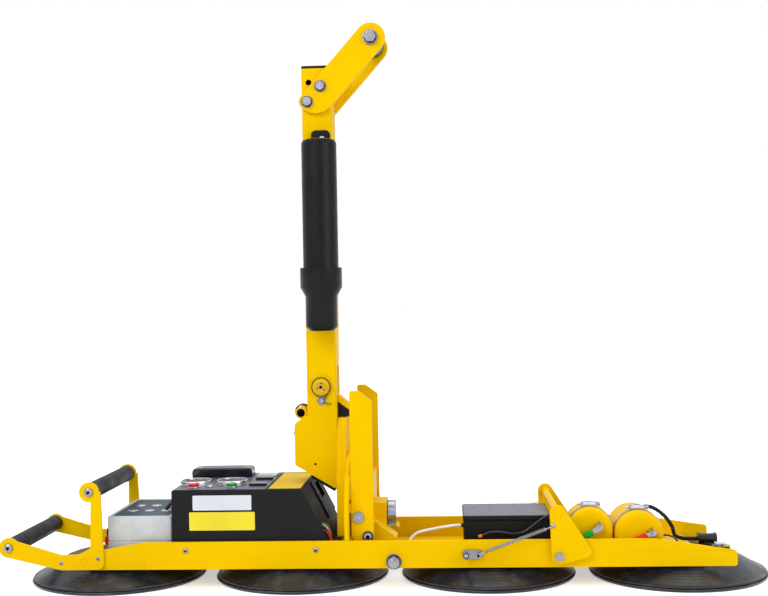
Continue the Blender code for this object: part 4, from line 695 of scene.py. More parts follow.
def seen(tree):
    """1 where a camera, mirror or glass looks straight at it."""
    path = shader_node(tree, "ShaderNodeLightPath", {})
    total = path.outputs["Is Camera Ray"]
    for name in ("Is Glossy Ray", "Is Transmission Ray"):
        inputs = {0: total, 1: path.outputs[name]}
        total = shader_node(tree, "ShaderNodeMath", inputs, operation="MAXIMUM").outputs[0]
    return total


def white_to_eye(tree, shader):
    """Adds a little white of its own to the floor where it is looked at, so that it meets the backdrop."""
    away = shader_node(tree, "ShaderNodeVectorMath", {0: place_socket(tree)}, operation="LENGTH")
    far = remap(tree, away.outputs["Value"], GLOW_DISTANCES, GLOW_LEVELS)
    share = shader_node(tree, "ShaderNodeMath", {0: seen(tree), 1: far}, operation="MULTIPLY").outputs[0]
    glow = shader_node(tree, "ShaderNodeEmission", {"Color": WHITE, "Strength": share}).outputs[0]
    both = shader_node(tree, "ShaderNodeAddShader", {0: shader.outputs[0], 1: glow})
    tree.links.new(both.outputs[0], tree.nodes["Material Output"].inputs["Surface"])


def make_floor(scene, studio):
    reach = FLOOR_REACH
    data = bpy.data.meshes.new("floor")
    corners = [(-reach, -reach), (reach, -reach), (reach, reach), (-reach, reach)]
    data.from_pydata([(x, y, CAD_LOW.z - LIFT) for x, y in corners], [], [(0, 1, 2, 3)])
    floor = bpy.data.objects.new("floor", data)
    scene.collection.objects.link(floor)
    made, tree, shader = tree_of("studio_floor")
    feed(shader, "Base Color", mixed(tree, spots(tree, 1.5, MOST), studio.floor, scaled(studio.floor, 1.02)))
    shader.inputs["Roughness"].default_value = 0.9
    white_to_eye(tree, shader)
    data.materials.append(made)


def make_world(scene, studio):
    world = bpy.data.worlds.new("studio")
    world.use_nodes = True
    background = world.node_tree.nodes["Background"]
    background.inputs["Color"].default_value = WHITE
    tree = world.node_tree
    feed(background, "Strength", remap(tree, seen(tree), NONE_TO_ALL, (studio.ambient, 1.0)))
    scene.world = world


def area_light(scene, name, place, size, power):
    """Rectangular light that looks at the middle of the part."""
    data = bpy.data.lights.new(name, "AREA")
    data.shape = "RECTANGLE"
    data.size, data.size_y = size, 0.7 * size
    data.energy = power
    made = bpy.data.objects.new(name, data)
    made.location = place
    towards = 0.5 * (CAD_LOW + CAD_HIGH) - Vector(place)
    made.rotation_euler = towards.to_track_quat("-Z", "Y").to_euler()
    scene.collection.objects.link(made)


def make_camera(scene, studio):
    yaw, pitch, roll = studio.yaw, studio.pitch, studio.roll
    ahead = Vector((-math.sin(yaw) * math.cos(pitch), math.cos(yaw) * math.cos(pitch), math.sin(pitch)))
    right = Vector((math.cos(yaw), math.sin(yaw), 0.0))
    above = right.cross(ahead)
    across = math.cos(roll) * right - math.sin(roll) * above
    upward = math.sin(roll) * right + math.cos(roll) * above
    data = bpy.data.cameras.new("camera")
    data.sensor_width = 36.0
    data.lens = studio.lens
    data.clip_start, data.clip_end = 0.05, 200.0
    made = bpy.data.objects.new("camera", data)
    turn = Matrix((across, upward, -ahead)).transposed()
    made.matrix_world = Matrix.Translation(Vector(studio.place)) @ turn.to_4x4()
    scene.collection.objects.link(made)
    scene.camera = made
    scene.view_settings.view_transform = "Standard"


class LIFTER_OT_stage(LifterOperator, bpy.types.Operator):
    """Make the floor, the lights, the surroundings and the camera"""

    bl_idname = "lifter.stage"
    bl_label = "Stage"

    def build(self, scene):
        studio = scene.lifter_studio
        make_floor(scene, studio)
        make_world(scene, studio)
        area_light(scene, "key", (-1.5, -2.3, 2.3), 2.4, studio.key)
        area_light(scene, "fill", (2.3, -1.9, 1.2), 2.0, studio.fill)
        area_light(scene, "top", (0.2, 0.4, 2.9), 2.6, studio.rim)
        make_camera(scene, studio)


# Suction pads
PAD_STEPS = 128


def pad(node):
    """Rim, and an upper side with fine steps that rises to the flat middle."""
    bottom, top = box_of(node)
    radius = 0.5 * (top.x - bottom.x)
    flat = 0.64 * radius
    foot = bottom.z + 0.0045
    profile = [(0.0, bottom.z), (radius - 0.002, bottom.z), (radius, bottom.z + 0.001)]
    profile += [(radius, bottom.z + 0.0035), (radius - 0.001, foot)]
    for step in range(23):
        share = step / 22
        ripple = 0.00045 * math.cos(16.0 * math.pi * share)
        sunk = (0.0012 - ripple) * math.sin(math.pi * share)
        slope = (top.z - foot - 0.0010) * share
        profile.append((radius - 0.004 + (flat - radius + 0.004) * share, foot + slope - sunk))
    profile += [(flat - 0.003, top.z), (0.45 * radius, top.z), (0.44 * radius, top.z - 0.0015)]
    profile += [(0.40 * radius, top.z - 0.0015), (0.39 * radius, top.z), (0.0, top.z)]
    stand_in(node, "rubber", turned(profile, axis_of(node, "Z"), "Z", PAD_STEPS), "rubber")


def seal(node):
    """Ring with a lip at each edge of its underside."""
    bottom, top = box_of(node)
    outer = 0.5 * (top.x - bottom.x)
    inner = outer - 0.024
    half = 0.5 * (bottom.z + top.z)
    groove = bottom.z + 0.0015
    profile = [(inner, top.z), (inner, half), (inner + 0.003, bottom.z), (inner + 0.008, bottom.z)]
    profile += [(inner + 0.010, groove), (outer - 0.010, groove), (outer - 0.008, bottom.z)]
    profile += [(outer - 0.003, bottom.z), (outer - 0.0005, half), (outer, top.z - 0.001), (outer - 0.0006, top.z)]
    stand_in(node, "rubber", turned(profile, axis_of(node, "Z"), "Z", PAD_STEPS, closed=True), "rubber")


class LIFTER_OT_pads(LifterOperator, bpy.types.Operator):
    """Turn the suction pads with their rims, steps and sealing rings"""

    bl_idname = "lifter.pads"
    bl_label = "Suction Pads"

    def build(self, scene):
        for number in range(1, 5):
            pad(f"pad_{number}")
            seal(f"pad_seal_{number}")


class LIFTER_OT_beam(LifterOperator, bpy.types.Operator):
    """Paint the rails and the deck and set the screws in the rails"""

    bl_idname = "lifter.beam"
    bl_label = "Beam"

    def build(self, scene):
        sizes = scene.lifter_sizes
        flange, nut = sizes.flange_nut, 0.0125
        for node in ("rail_front", "rail_rear", "deck"):
            refined(node, "paint", sizes.edge)
        for side, outward in SIDES:
            face = outer_face(f"rail_{side}", outward) + outward * LIFT
            places = [row(x, face, 0.0760) for x in (-0.4005, -0.1466)]
            socket_screws("rail", side, outward, places, sizes.small_head, 0.0030)
            place = row(0.0039, face, 0.0524)
            piece(f"rail_nut_{side}", hex_nut(place, outward, nut, flange, 0.0078), "steel")
            # dark ring under the nut: painted shadow
            piece(f"rail_ring_{side}", painted_shadow_ring(place, outward, nut, flange), "dark_steel")
            piece(f"rail_flange_{side}", flat_washer(place, outward, flange), "zinc")


# Carrying handle
def grip(node):
    """Foam sleeve with round ends and fine grooves."""
    bottom, top = box_of(node)
    radius = 0.5 * (top.z - bottom.z)
    bend, grooves, half_groove = 0.0025, 26, 0.0012
    shoulder = radius - bend
    profile = [(0.40 * radius, bottom.y), (shoulder, bottom.y)]
    profile += bend_points(shoulder, bottom.y + bend, bend, (-67.5, -45.0, -22.5, 0.0))
    for index in range(1, grooves):
        y = bottom.y + 0.008 + (top.y - bottom.y - 0.016) * index / grooves
        profile += [(radius, y - half_groove), (radius - 0.0004, y), (radius, y + half_groove)]
    profile += bend_points(shoulder, top.y - bend, bend, (0.0, 22.5, 45.0, 67.5))
    profile += [(shoulder, top.y), (0.40 * radius, top.y)]
    stand_in(node, "foam", turned(profile, axis_of(node, "Y"), "Y", closed=True), "grip")


def rod(node):
    """Rod through a grip, with a domed socket head at both ends."""
    bottom, top = box_of(node)
    head = 0.5 * (top.z - bottom.z)
    half = [(0.0, 0.0030), (0.42 * head, 0.0028, 6), (0.46 * head, 0.0, 6), (0.62 * head, 0.0)]
    half += [(0.92 * head, 0.0018), (head, 0.0036), (head, 0.0050), (0.60 * head, 0.0050)]
    profile = [(radius, bottom.y + along, *sides) for radius, along, *sides in half]
    profile += [(radius, top.y - along, *sides) for radius, along, *sides in reversed(half)]
    centre = axis_of(node, "Y")
    stand_in(node, "steel", turned(profile, centre, "Y", MIDDLE_STEPS), "steel")
    # dark hexagons in the two sockets: painted shade inside them
    holes = [socket_hole((centre.x, y + inward * 0.0034, centre.z), -inward, 0.68 * head, 0.0022)
             for y, inward in ((bottom.y, 1.0), (top.y, -1.0))]
    piece(f"{node}_sockets", merged(holes), "void")


class LIFTER_OT_handle(LifterOperator, bpy.types.Operator):
    """Paint the handle plates and turn the two grips"""

    bl_idname = "lifter.handle"
    bl_label = "Carrying Handle"

    def build(self, scene):
        for side, _ in SIDES:
            refined(f"handle_{side}", "paint", scene.lifter_sizes.edge)
        for name in ("upper", "lower"):
            grip(f"grip_{name}")
            rod(f"grip_rod_{name}")
        for side, outward in SIDES:
            face = outer_face(f"handle_{side}", outward)
            places = [row(x, face + outward * LIFT, z) for x, z in ((-0.6445, 0.0547), (-0.5713, 0.0633))]
            socket_screws("handle", side, outward, places, 0.0042, 0.0018)
            piece(f"handle_weld_{side}", ring_bead(row(-0.5999, face, 0.0598), 0.0056, 0.0010, "Y"), "paint")


# Battery
def battery_caps(bottom, top, rim):
    """Six low vent caps in two rows."""
    profile = [(radius, rim + along) for radius, along in mm(
        (0.0, 0.0), (10.5, 0.0), (10.5, 1.4), (9.5, 2.0), (3.0, 2.0), (2.6, 1.4), (0.0, 1.4))]
    caps = []
    for column in (-1, 0, 1):
        for line in (-1, 1):
            x = 0.5 * (bottom.x + top.x) + column * 0.034
            y = 0.5 * (bottom.y + top.y) + line * 0.030
            caps.append(turned(profile, (x, y, 0.0), "Z", SMALL_STEPS))
    piece("battery_caps", merged(caps), "chrome")


def battery_connector(bottom):
    """Red plug on the battery's end and the lead that runs down from it."""
    left, front = bottom.x - 0.0075, bottom.y + 0.004
    block = extruded(rounded(left, front, bottom.x - 0.0003, front + 0.022, 0.002), 0.084, 0.100)
    piece("battery_connector", block, "red", edge=0.0008)
    knots = [(left + 0.004, front + 0.011, 0.0990)]
    places = ((0.011, 0.1080), (0.030, 0.1160), (0.070, 0.1100), (0.110, 0.0900), (0.130, 0.0620))
    knots += [(left + 0.003, front + y, z) for y, z in places]
    piece("battery_lead", cord(knots, 0.0024, spacing=0.005), "plastic")


class LIFTER_OT_battery(LifterOperator, bpy.types.Operator):
    """Mould the battery case with its rim, top, seam and leads"""

    bl_idname = "lifter.battery"
    bl_label = "Battery"

    def build(self, scene):
        bottom, top = box_of("battery")
        seam = bottom.z + 0.46 * (top.z - bottom.z)
        rim = top.z - 0.0030
        wall, corner, inner_corner = 0.006, 0.004, 0.003
        outer = inset(bottom, top, 0.0, corner)
        waist = inset(bottom, top, 0.0012, inner_corner)
        case = [extruded(outer, bottom.z, seam - 0.0006), extruded(waist, seam - 0.0010, seam + 0.0010),
                extruded(outer, seam + 0.0006, rim)]
        stand_in("battery", "case", merged(case), "battery", 0.0007)
        inner = inset(bottom, top, wall, inner_corner)
        piece("battery_rim", framed(outer, inner, rim - LIFT, top.z), "battery", edge=0.0006)
        field = inset(bottom, top, wall + 0.0004, inner_corner)
        piece("battery_top", extruded(field, rim - LIFT, rim + 0.0008), "battery_top", edge=0.0003)
        battery_caps(bottom, top, rim)
        battery_connector(bottom)


# Control box
END_RUN, END_DROP = 0.057, 0.1115  # the leaning end, along X and down
WIRES = (("red", 0.090, -0.110), ("plastic", 0.088, -0.104), ("cyan", 0.084, -0.098), ("cable", 0.082, -0.091),
         ("green", 0.080, -0.083), ("orange", 0.084, -0.070))


def leaning(top):
    """Matrix onto the leaning end: X runs down it, Y along it and Z away from it."""
    slope = Vector((END_RUN, 0.0, -END_DROP)).normalized()
    out = Vector((-slope.z, 0.0, slope.x))
    corner = Vector((top.x - END_RUN, 0.0, top.z))
    return Matrix.Translation(corner + out * LIFT) @ Matrix((slope, AXES["Y"], out)).transposed().to_4x4()


def blank_plates(bottom, top, thick):
    """White and yellow plates on the front, and the yellow plate and the film on the top."""
    face, start = bottom.y, row(0.0, 0.0, 0.0).x
    for name, finish, left, under, right, over in (
        ("white_plate", "white", -0.3878, 0.1520, -0.2723, 0.1810),
        ("yellow_plate", "plate", -0.3950, 0.1130, -0.2660, 0.1485),
    ):
        outline = rounded(start + left, under, start + right, over, 0.002)
        piece(name, extruded(outline, face - thick, face - LIFT, "Y"), finish)
    outline = rounded(start - 0.2400, bottom.y + 0.010, start - 0.1770, top.y - 0.012, 0.003)
    piece("top_plate", extruded(outline, top.z + LIFT, top.z + thick), "top_plate")
    outline = rounded(bottom.x + 0.004, bottom.y + 0.005, start - 0.2460, top.y - 0.005, 0.004)
    piece("panel_film", extruded(outline, top.z + 0.00005, top.z + 0.00025), "panel")


def end_panel(top):
    """Raised plate with its opening on the rear part of the leaning end, and the latch's white dot."""
    outer = rounded(0.006, 0.001, 0.088, top.y - 0.004, 0.003)
    inner = rounded(0.0142, 0.0325, 0.0482, 0.0775, 0.003)
    dot = turned(mm((0.0, 0.0), (2.6, 0.0), (2.6, 1.2), (0.0, 1.6)), (0.0310, 0.0400, 0.0), "Z", SMALL_STEPS)
    plate = framed(outer, inner, 0.0, 0.0030)
    for name, mesh, finish in (("end_plate", plate, "sheet"), ("end_dot", dot, "white")):
        bmesh.ops.transform(mesh, matrix=leaning(top), verts=mesh.verts)
        piece(name, mesh, finish)


def wires(top, radius):
    """Single wires that come out low on the leaning end and run down into the box again."""
    for name, start, y in WIRES:
        knots = [(start, y, -0.0010), (start + 0.006, y, 0.0036), (start + 0.016, y - 0.002, 0.0050),
                 (start + 0.024, y - 0.004, 0.0036), (0.1215, y - 0.006, -0.0010)]
        piece(f"wire_{name}", cord([leaning(top) @ Vector(knot) for knot in knots], radius, 8), name)


class LIFTER_OT_control_box(LifterOperator, bpy.types.Operator):
    """Coat the control box and fix its blank plates, screws and wires"""

    bl_idname = "lifter.control_box"
    bl_label = "Control Box"

    def build(self, scene):
        sizes = scene.lifter_sizes
        refined("control_box", "sheet", 0.0012)
        bottom, top = box_of("control_box")
        blank_plates(bottom, top, sizes.plate_thickness)
        heads = []
        for outward, face in ((-1.0, bottom.y), (1.0, top.y)):
            for x in (bottom.x + 0.014, bottom.x + 0.250):
                heads.append(dome_screw((x, face + outward * LIFT, 0.0640), outward, 0.0040, 0.0020))
        piece("box_screws", merged(heads), "steel")
        end_panel(top)
        wires(top, sizes.wire)


# Control panel
def gauge(node):
    """Bezel, dial, coloured bands, marks with the needle, and glass."""
    bottom, top = box_of(node)
    radius = 0.5 * (top.x - bottom.x)
    centre = axis_of(node, "Z")
    face = top.z - 0.0034
    profile = [(0.0, bottom.z), (radius, bottom.z), (radius, bottom.z + 0.0010)]
    profile += [(radius - 0.0010, bottom.z + 0.0018), (radius - 0.0010, top.z - 0.0028)]
    profile += [(radius - 0.0018, top.z - 0.0006), (radius - 0.0030, top.z)]
    profile += [(radius - 0.0045, top.z - 0.0006), (radius - 0.0052, face), (0.0, face)]
    stand_in(node, "bezel", turned(profile, centre, "Z"), "chrome")
    piece(f"{node}_face", disc(centre, radius - 0.0053, face + 0.0001, face + 0.0004, "Z"), "dial")
    level = face + 0.0005
    for name, start, end in (("green", -35.0, 95.0), ("red", 95.0, 215.0)):
        piece(f"{node}_{name}_band", gauge_band(centre, 0.62 * radius, 0.72 * radius, start, end, level), name)
    piece(f"{node}_marks", gauge_marks(centre, radius, level), "gloss")
    piece(f"{node}_glass", disc(centre, radius - 0.0049, top.z - 0.0014, top.z - 0.0008, "Z"), "glass")


def gauge_band(centre, inner, outer, start, end, level):
    """Flat arc between two angles in degrees."""
    mesh = bmesh.new()
    base = Vector((centre.x, centre.y, level))
    rows = []
    for step in range(25):
        angle = math.radians(start + (end - start) * step / 24)
        way = Vector((math.cos(angle), math.sin(angle), 0.0))
        rows.append([mesh.verts.new(base + way * inner), mesh.verts.new(base + way * outer)])
    for one, two in zip(rows, rows[1:]):
        mesh.faces.new([one[0], one[1], two[1], two[0]])
    return mesh


def gauge_marks(centre, radius, level):
    """Scale marks, the needle and its hub."""
    meshes = []
    for index in range(21):
        long = 0.12 if index % 5 == 0 else 0.06
        start, end = (0.80 - long) * radius, 0.80 * radius
        meshes.append(gauge_bar(centre, -45.0 + 13.5 * index, start, end, 0.0003, level))
    meshes.append(gauge_bar(centre, 60.0, -0.18 * radius, 0.66 * radius, 0.0006, level + 0.0004))
    hub = [(0.0, level), (0.0028, level), (0.0024, level + 0.0010), (0.0, level + 0.0012)]
    meshes.append(turned(hub, centre, "Z", 16))
    return merged(meshes)


def gauge_bar(centre, degrees, start, end, half, level):
    angle = math.radians(degrees)
    way = Vector((math.cos(angle), math.sin(angle)))
    side = Vector((-way.y, way.x)) * half
    base = Vector((centre.x, centre.y))
    near, far = base + way * start, base + way * end
    corners = [near - side, far - side, far + side, near + side]
    return extruded([(corner.x, corner.y) for corner in corners], level, level + 0.0002)


def button(name, panel):
    """Cap on its stem, and the ring round it."""
    node = f"button_{name}"
    bottom, top = box_of(node)
    radius = 0.5 * (top.x - bottom.x)
    stem, bend, seat = 0.54 * radius, 0.0012, panel + 0.0033
    profile = [(0.0, bottom.z), (stem, bottom.z), (stem, seat), (radius, seat), (radius, top.z - bend)]
    profile += bend_points(radius - bend, top.z - bend, bend, (22.5, 45.0, 67.5, 90.0))
    profile += [(0.70 * radius, top.z), (0.0, top.z - 0.0005)]
    centre = axis_of(node, "Z")
    stand_in(node, "cap", turned(profile, centre, "Z", MIDDLE_STEPS), name)
    base = panel + 0.0003
    ring = [(radius + 0.0003, base), (radius + 0.0019, base), (radius + 0.0019, base + 0.0012),
            (radius + 0.0012, base + 0.0020), (radius + 0.0003, base + 0.0020)]
    piece(f"{node}_ring", turned(ring, centre, "Z", MIDDLE_STEPS, closed=True), "chrome")


def panel_pieces(level):
    """Two switches, the socket's plate and the lamp."""
    start = row(0.0, 0.0, 0.0).x
    for name, finish, left, front, right, back, corner, rise, edge in (
        ("switch_long", "gloss", -0.2850, 0.0100, -0.2500, 0.0260, 0.002, 0.0050, 0.0012),
        ("switch_short", "gloss", -0.2850, -0.0720, -0.2500, -0.0540, 0.002, 0.0050, 0.0012),
        ("socket", "battery", -0.2900, 0.0560, -0.2490, 0.0960, 0.003, 0.0030, 0.0008),
    ):
        outline = rounded(start + left, front, start + right, back, corner)
        piece(f"panel_{name}", extruded(outline, level, level + rise), finish, edge=edge)
    lamp = [(0.0, level), (0.0075, level), (0.0075, level + 0.0020), (0.0050, level + 0.0036),
            (0.0, level + 0.0040)]
    piece("panel_lamp", turned(lamp, row(-0.3620, -0.0790, 0.0), "Z", 32), "chrome")


class LIFTER_OT_panel(LifterOperator, bpy.types.Operator):
    """Build the gauges, the display housing, the buttons and the small panel pieces"""

    bl_idname = "lifter.panel"
    bl_label = "Control Panel"

    def build(self, scene):
        refined("display_housing", "gloss", 0.0030)
        bottom, top = box_of("display_housing")
        window = rounded(bottom.x + 0.020, bottom.y + 0.010, top.x - 0.020, top.y - 0.010, 0.003)
        piece("display_window", extruded(window, top.z - 0.0004, top.z + LIFT), "panel", edge=0.0001)
        panel = high("control_box").z
        for side in ("left", "right"):
            gauge(f"gauge_{side}")
        for name in ("red", "green"):
            button(name, panel)
        panel_pieces(panel + 0.0003)


class LIFTER_OT_pump_box(LifterOperator, bpy.types.Operator):
    """Mould the pump box and its textured lid"""

    bl_idname = "lifter.pump_box"
    bl_label = "Pump Box"

    def build(self, scene):
        refined("pump_box", "plastic", 0.0010)
        refined("pump_box_lid", "plastic", 0.0004)
        bottom, top = box_of("pump_box_lid")
        field = inset(bottom, top, 0.0022, 0.004)
        piece("pump_lid_top", extruded(field, top.z - 0.0002, top.z + 0.0005), "lid", edge=0.0003)


# Reservoirs
def tank(node):
    """Tank with round edges and a shallow field in both ends."""
    bottom, top = box_of(node)
    radius = 0.5 * (top.x - bottom.x)
    front, back = bottom.y + 0.0095, top.y
    bend, dent = 0.007, 0.0008
    field, rim, shoulder = radius - 2.4 * bend, radius - 2.1 * bend, radius - bend
    profile = [(0.0, front + dent), (field, front + dent), (rim, front), (shoulder, front)]
    profile += bend_points(shoulder, front + bend, bend, range(-72, 1, 18))
    profile += bend_points(shoulder, back - bend, bend, range(0, 91, 18))
    profile += [(rim, back), (field, back - dent), (0.0, back - dent)]
    stand_in(node, "shell", turned(profile, axis_of(node, "Y"), "Y", 96), "paint")


def clamp_screw(node):
    """Worm screw and saddle of a clamp, and dark marks on its band that paint the shade in the band's
    perforations.
    """
    z, y = high(node).z - 0.0045, middle(node).y
    left, right = middle(node).x - 0.016, middle(node).x + 0.016
    head = mm((0.0, 0.0), (4.2, 0.0, 6), (4.2, 4.0, 6), (3.4, 5.2), (0.8, 5.2), (0.0, 4.0))
    thread = mm((0.0, 0.0), (2.4, 0.0), (2.4, -6.0), (0.0, -6.5))
    screw = [turned(head, (right + LIFT, y, z), "X", SMALL_STEPS), turned(thread, (left - LIFT, y, z), "X", 16)]
    piece(f"{node}_screw", merged(screw), "chrome")
    crown = [(left + 0.0030, z - 0.0010), (right - 0.0030, z - 0.0010), (right - 0.0040, z + 0.0040),
             (right - 0.0090, z + 0.0052), (left + 0.0090, z + 0.0052), (left + 0.0040, z + 0.0040)]
    half = 0.5 * (high(node).y - low(node).y) + LIFT
    piece(f"{node}_saddle", extruded(crown, y - half, y + half, "Y"), "chrome", edge=0.0006)
    # dark marks on top of the band: painted shade of its perforations
    slot_shades = []
    for x in (left + 0.0100 + 0.0030 * index for index in range(4)):
        outline = [(x, y - 0.0030), (x + 0.0013, y - 0.0026), (x + 0.0013, y + 0.0030), (x, y + 0.0026)]
        slot_shades.append(extruded(outline, z + 0.0050, z + 0.0055))
    piece(f"{node}_slots", merged(slot_shades), "void")


def lever_fittings(node, finish):
    """Valve body with its hexagon, the nut on the lever, and the coloured sleeve over the lever's end."""
    body = body_holding(node)
    x, y, z = joint_place(body)
    base = y + 0.0095
    stem = [(0.0, base + 0.0008), (0.0098, base + 0.0008, 6), (0.0098, base - 0.0036, 6),
            (0.0072, base - 0.0040), (0.0072, y + 0.0004), (0.0, y + 0.0004)]
    piece(f"{node}_stem", turned(stem, (x, 0.0, z), "Y", SMALL_STEPS), "brass")
    nut = mm((0.0, 0.0), (4.6, 0.0, 6), (4.6, -3.0, 6), (3.0, -3.6), (0.0, -3.6))
    piece(f"{node}_nut", turned(nut, (x, low(node).y, z), "Y", SMALL_STEPS), "steel", body)
    tip = Vector((low(node).x + 0.0038, middle(node).y, low(node).z + 0.0038))
    hub = Vector((x, middle(node).y, z))
    points = [hub.lerp(tip, share) for share in (0.30, 0.34, 0.42, 0.60, 0.80, 0.95, 1.02, 1.06)]
    radii = (0.0030, 0.0050, 0.0064, 0.0062, 0.0056, 0.0054, 0.0048, 0.0026)
    piece(f"{node}_sleeve", swept(points, radii, 16), finish, body)


class LIFTER_OT_reservoirs(LifterOperator, bpy.types.Operator):
    """Turn the vacuum reservoirs, their band clamps, valve stems and levers"""

    bl_idname = "lifter.reservoirs"
    bl_label = "Reservoirs"

    def build(self, scene):
        for side, lever in (("left", "green"), ("right", "red")):
            tank(f"reservoir_{side}")
            refined(f"clamp_{side}", "steel", 0.0004)
            clamp_screw(f"clamp_{side}")
            refined(f"valve_lever_{lever}", "steel", 0.0012)
            lever_fittings(f"valve_lever_{lever}", lever)


# Bail and springs
HOOK_SHARE = 0.10  # of the spring's length that its two hooks take
TURN_STEPS = 10
HOOK_WIRE = 0.0011


def spring(side, outward, sizes):
    """Close coil with a straight hook at each end."""
    node = f"spring_{side}"
    top, y = high(node), middle(node).y
    start = row(0.1730, y, 0.0708)
    end = Vector((top.x - 0.004, y, top.z - 0.0050))
    along = (end - start).normalized()
    second = along.cross(AXES["Y"])
    coil = sizes.spring_coil - sizes.spring_wire
    count = sizes.spring_turns * TURN_STEPS
    points = []
    for step in range(count + 1):
        share = step / count
        angle = 2.0 * math.pi * sizes.spring_turns * share
        place = start.lerp(end, HOOK_SHARE * 0.2 + (1.0 - HOOK_SHARE) * share)
        points.append(place + coil * (AXES["Y"] * math.cos(angle) + second * math.sin(angle)))
    made = object_of(f"spring_{side}_coil", swept(points, sizes.spring_wire, 6), "steel", angle=60.0)
    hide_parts(node)
    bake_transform(made)
    foot = [row(0.1655, y, 0.0664), row(0.1690, y, 0.0685), start + 0.006 * along]
    piece(f"spring_{side}_foot", cord(foot, HOOK_WIRE, 8, 0.003), "steel")
    anchor = f"spring_anchor_{side}"
    face = outward * max(abs(low(anchor).y), abs(high(anchor).y)) + outward * LIFT
    place = row(0.1425, face, 0.0655)
    piece(f"anchor_washer_{side}", flat_washer(place, outward, 0.0060), "dark_steel")
    piece(f"anchor_screw_{side}", dome_screw(place, outward, 0.0047, 0.0030), "steel")
    # dark disc on the anchor's face: painted shade of its hole
    hole = disc(row(0.1655, face, 0.0660), 0.0026, 0.0, LIFT, "Y", SMALL_STEPS, outward)
    piece(f"anchor_hole_shade_{side}", hole, "void")
    hook = [end - 0.016 * along, end - 0.004 * along, end, end - Vector((0.0, outward * 0.008, 0.0))]
    piece(f"spring_{side}_hook", cord(hook, HOOK_WIRE, 8, 0.003), "steel", "bail")


class LIFTER_OT_bail(LifterOperator, bpy.types.Operator):
    """Paint the bail and wind its springs"""

    bl_idname = "lifter.bail"
    bl_label = "Bail and Springs"

    def build(self, scene):
        sizes = scene.lifter_sizes
        refined("bail", "paint", sizes.edge)
        x, _, z = joint_place("bail")
        cap = mm((0.0, 0.0), (5.2, 0.0, 6), (5.2, 1.6, 6), (4.0, 2.2), (0.0, 2.2))
        for side, outward in SIDES:
            pin = f"bail_pin_{side}"
            refined(pin, "steel", 0.0005)
            refined(f"spring_anchor_{side}", "zinc", 0.0008)
            joined = ring_bead(row(0.3180, outward * high("bail").y, 0.1435), 0.0085, 0.0009, "Y")
            piece(f"bail_weld_{side}", joined, "paint", "bail")
            spring(side, outward, sizes)
            face = outward * (abs(middle(pin).y) + 0.5 * (high(pin) - low(pin)).y)
            bolt = turned(cap, (x, face + outward * LIFT, z), "Y", SMALL_STEPS, outward=outward)
            piece(f"bail_bolt_{side}", bolt, "steel")
            place = row(0.3080, outward * (high("bail").y - 0.0001), 0.1205)
            piece(f"spring_screw_{side}", dome_screw(place, outward, 0.0050, 0.0026), "steel", "bail")


# Hose and cables
def glands():
    """Gland and grommet of the pump's cable, and the hose's fitting on the tank."""
    tank_back, spot = high("reservoir_right").y, middle("reservoir_right")
    for name, finish, axis, place, profile in (
        ("pump_cable_gland", "plastic", "X", (high("pump_cable").x, -0.0600, 0.1080),
         mm((3.0, 0.0), (4.6, 0.0, 6), (4.6, -2.8, 6), (4.0, -4.0), (3.0, -5.0))),
        ("deck_grommet", "plastic", "Z", row(0.0320, -0.0600, low("pump_cable").z),
         mm((2.9, 0.0), (6.0, 0.0), (6.0, 2.0), (4.0, 6.0), (2.9, 6.0))),
        ("hose_fitting", "brass", "Y", (spot.x, tank_back + LIFT, spot.z),
         mm((4.4, 0.0), (8.5, 0.0, 6), (8.5, 6.0, 6), (6.5, 7.0), (6.5, 13.0), (4.4, 13.0))),
    ):
        piece(name, turned(profile, place, axis, SMALL_STEPS, closed=True), finish)


def pad_valve():
    """Connection valve on the last pad: flange, ribs, arm, latch, catch and post."""
    refined("pad_valve", "gloss", 0.0008)
    bottom, top = box_of("pad_valve")
    centre = axis_of("pad_valve", "Z")
    flange = [(0.0, bottom.z + LIFT), (0.0180, bottom.z + LIFT), (0.0180, bottom.z + 0.0040)]
    flange += [(0.0165, bottom.z + 0.0060), (0.0120, bottom.z + 0.0075), (0.0, bottom.z + 0.0075)]
    piece("pad_valve_flange", turned(flange, centre, "Z", MIDDLE_STEPS), "plastic")
    ribs = [ring_bead((bottom.x + 0.0075 + 0.0036 * index, centre.y, top.z - 0.012), 0.0102, 0.0008, "X")
            for index in range(7)]
    piece("pad_valve_ribs", merged(ribs), "gloss")
    front = bottom.y
    for name, finish, left, right, near, under, over in (
        ("arm", "gloss", -0.0120, 0.0210, -0.0130, 0.0520, 0.0560),
        ("latch", "cable", -0.0070, 0.0145, -0.0110, 0.0605, 0.0640),
        ("catch", "brass", 0.0050, 0.0220, -0.0150, 0.0562, 0.0592),
    ):
        outline = rounded(top.x + left, front + near, top.x + right, front + near + 0.0120, 0.002)
        piece(f"pad_valve_{name}", extruded(outline, under, over), finish, edge=0.0006)
    post = disc((top.x - 0.0020, front - 0.0060, 0.0), 0.0030, 0.0555, 0.0610, "Z", SMALL_STEPS)
    piece("pad_valve_post", post, "steel")


def sensor_cable():
    """Thin cable with a sleeve from the front rail to the pump box."""
    sleeve = route(-85.0, (174.0, 91.5), (186.0, 96.5), (205.0, 98.5), (218.0, 97.0), (228.0, 95.5))
    piece("sensor_sleeve", cord(sleeve, 0.0030), "gloss")
    tip = route(-85.0, (168.0, 90.0), (170.5, 90.5), (175.0, 92.0))
    piece("sensor_tip", swept(tip, (0.0022, 0.0034, 0.0033)), "orange")
    cable = route(-85.0, (226.0, 95.7), (242.0, 96.0), (258.0, 100.0)) + route(-86.0, (280.0, 116.0))
    cable += route(-88.0, (300.0, 130.0), (312.0, 135.0))
    piece("sensor_cable", cord(cable, 0.0013, 8), "dark_steel")


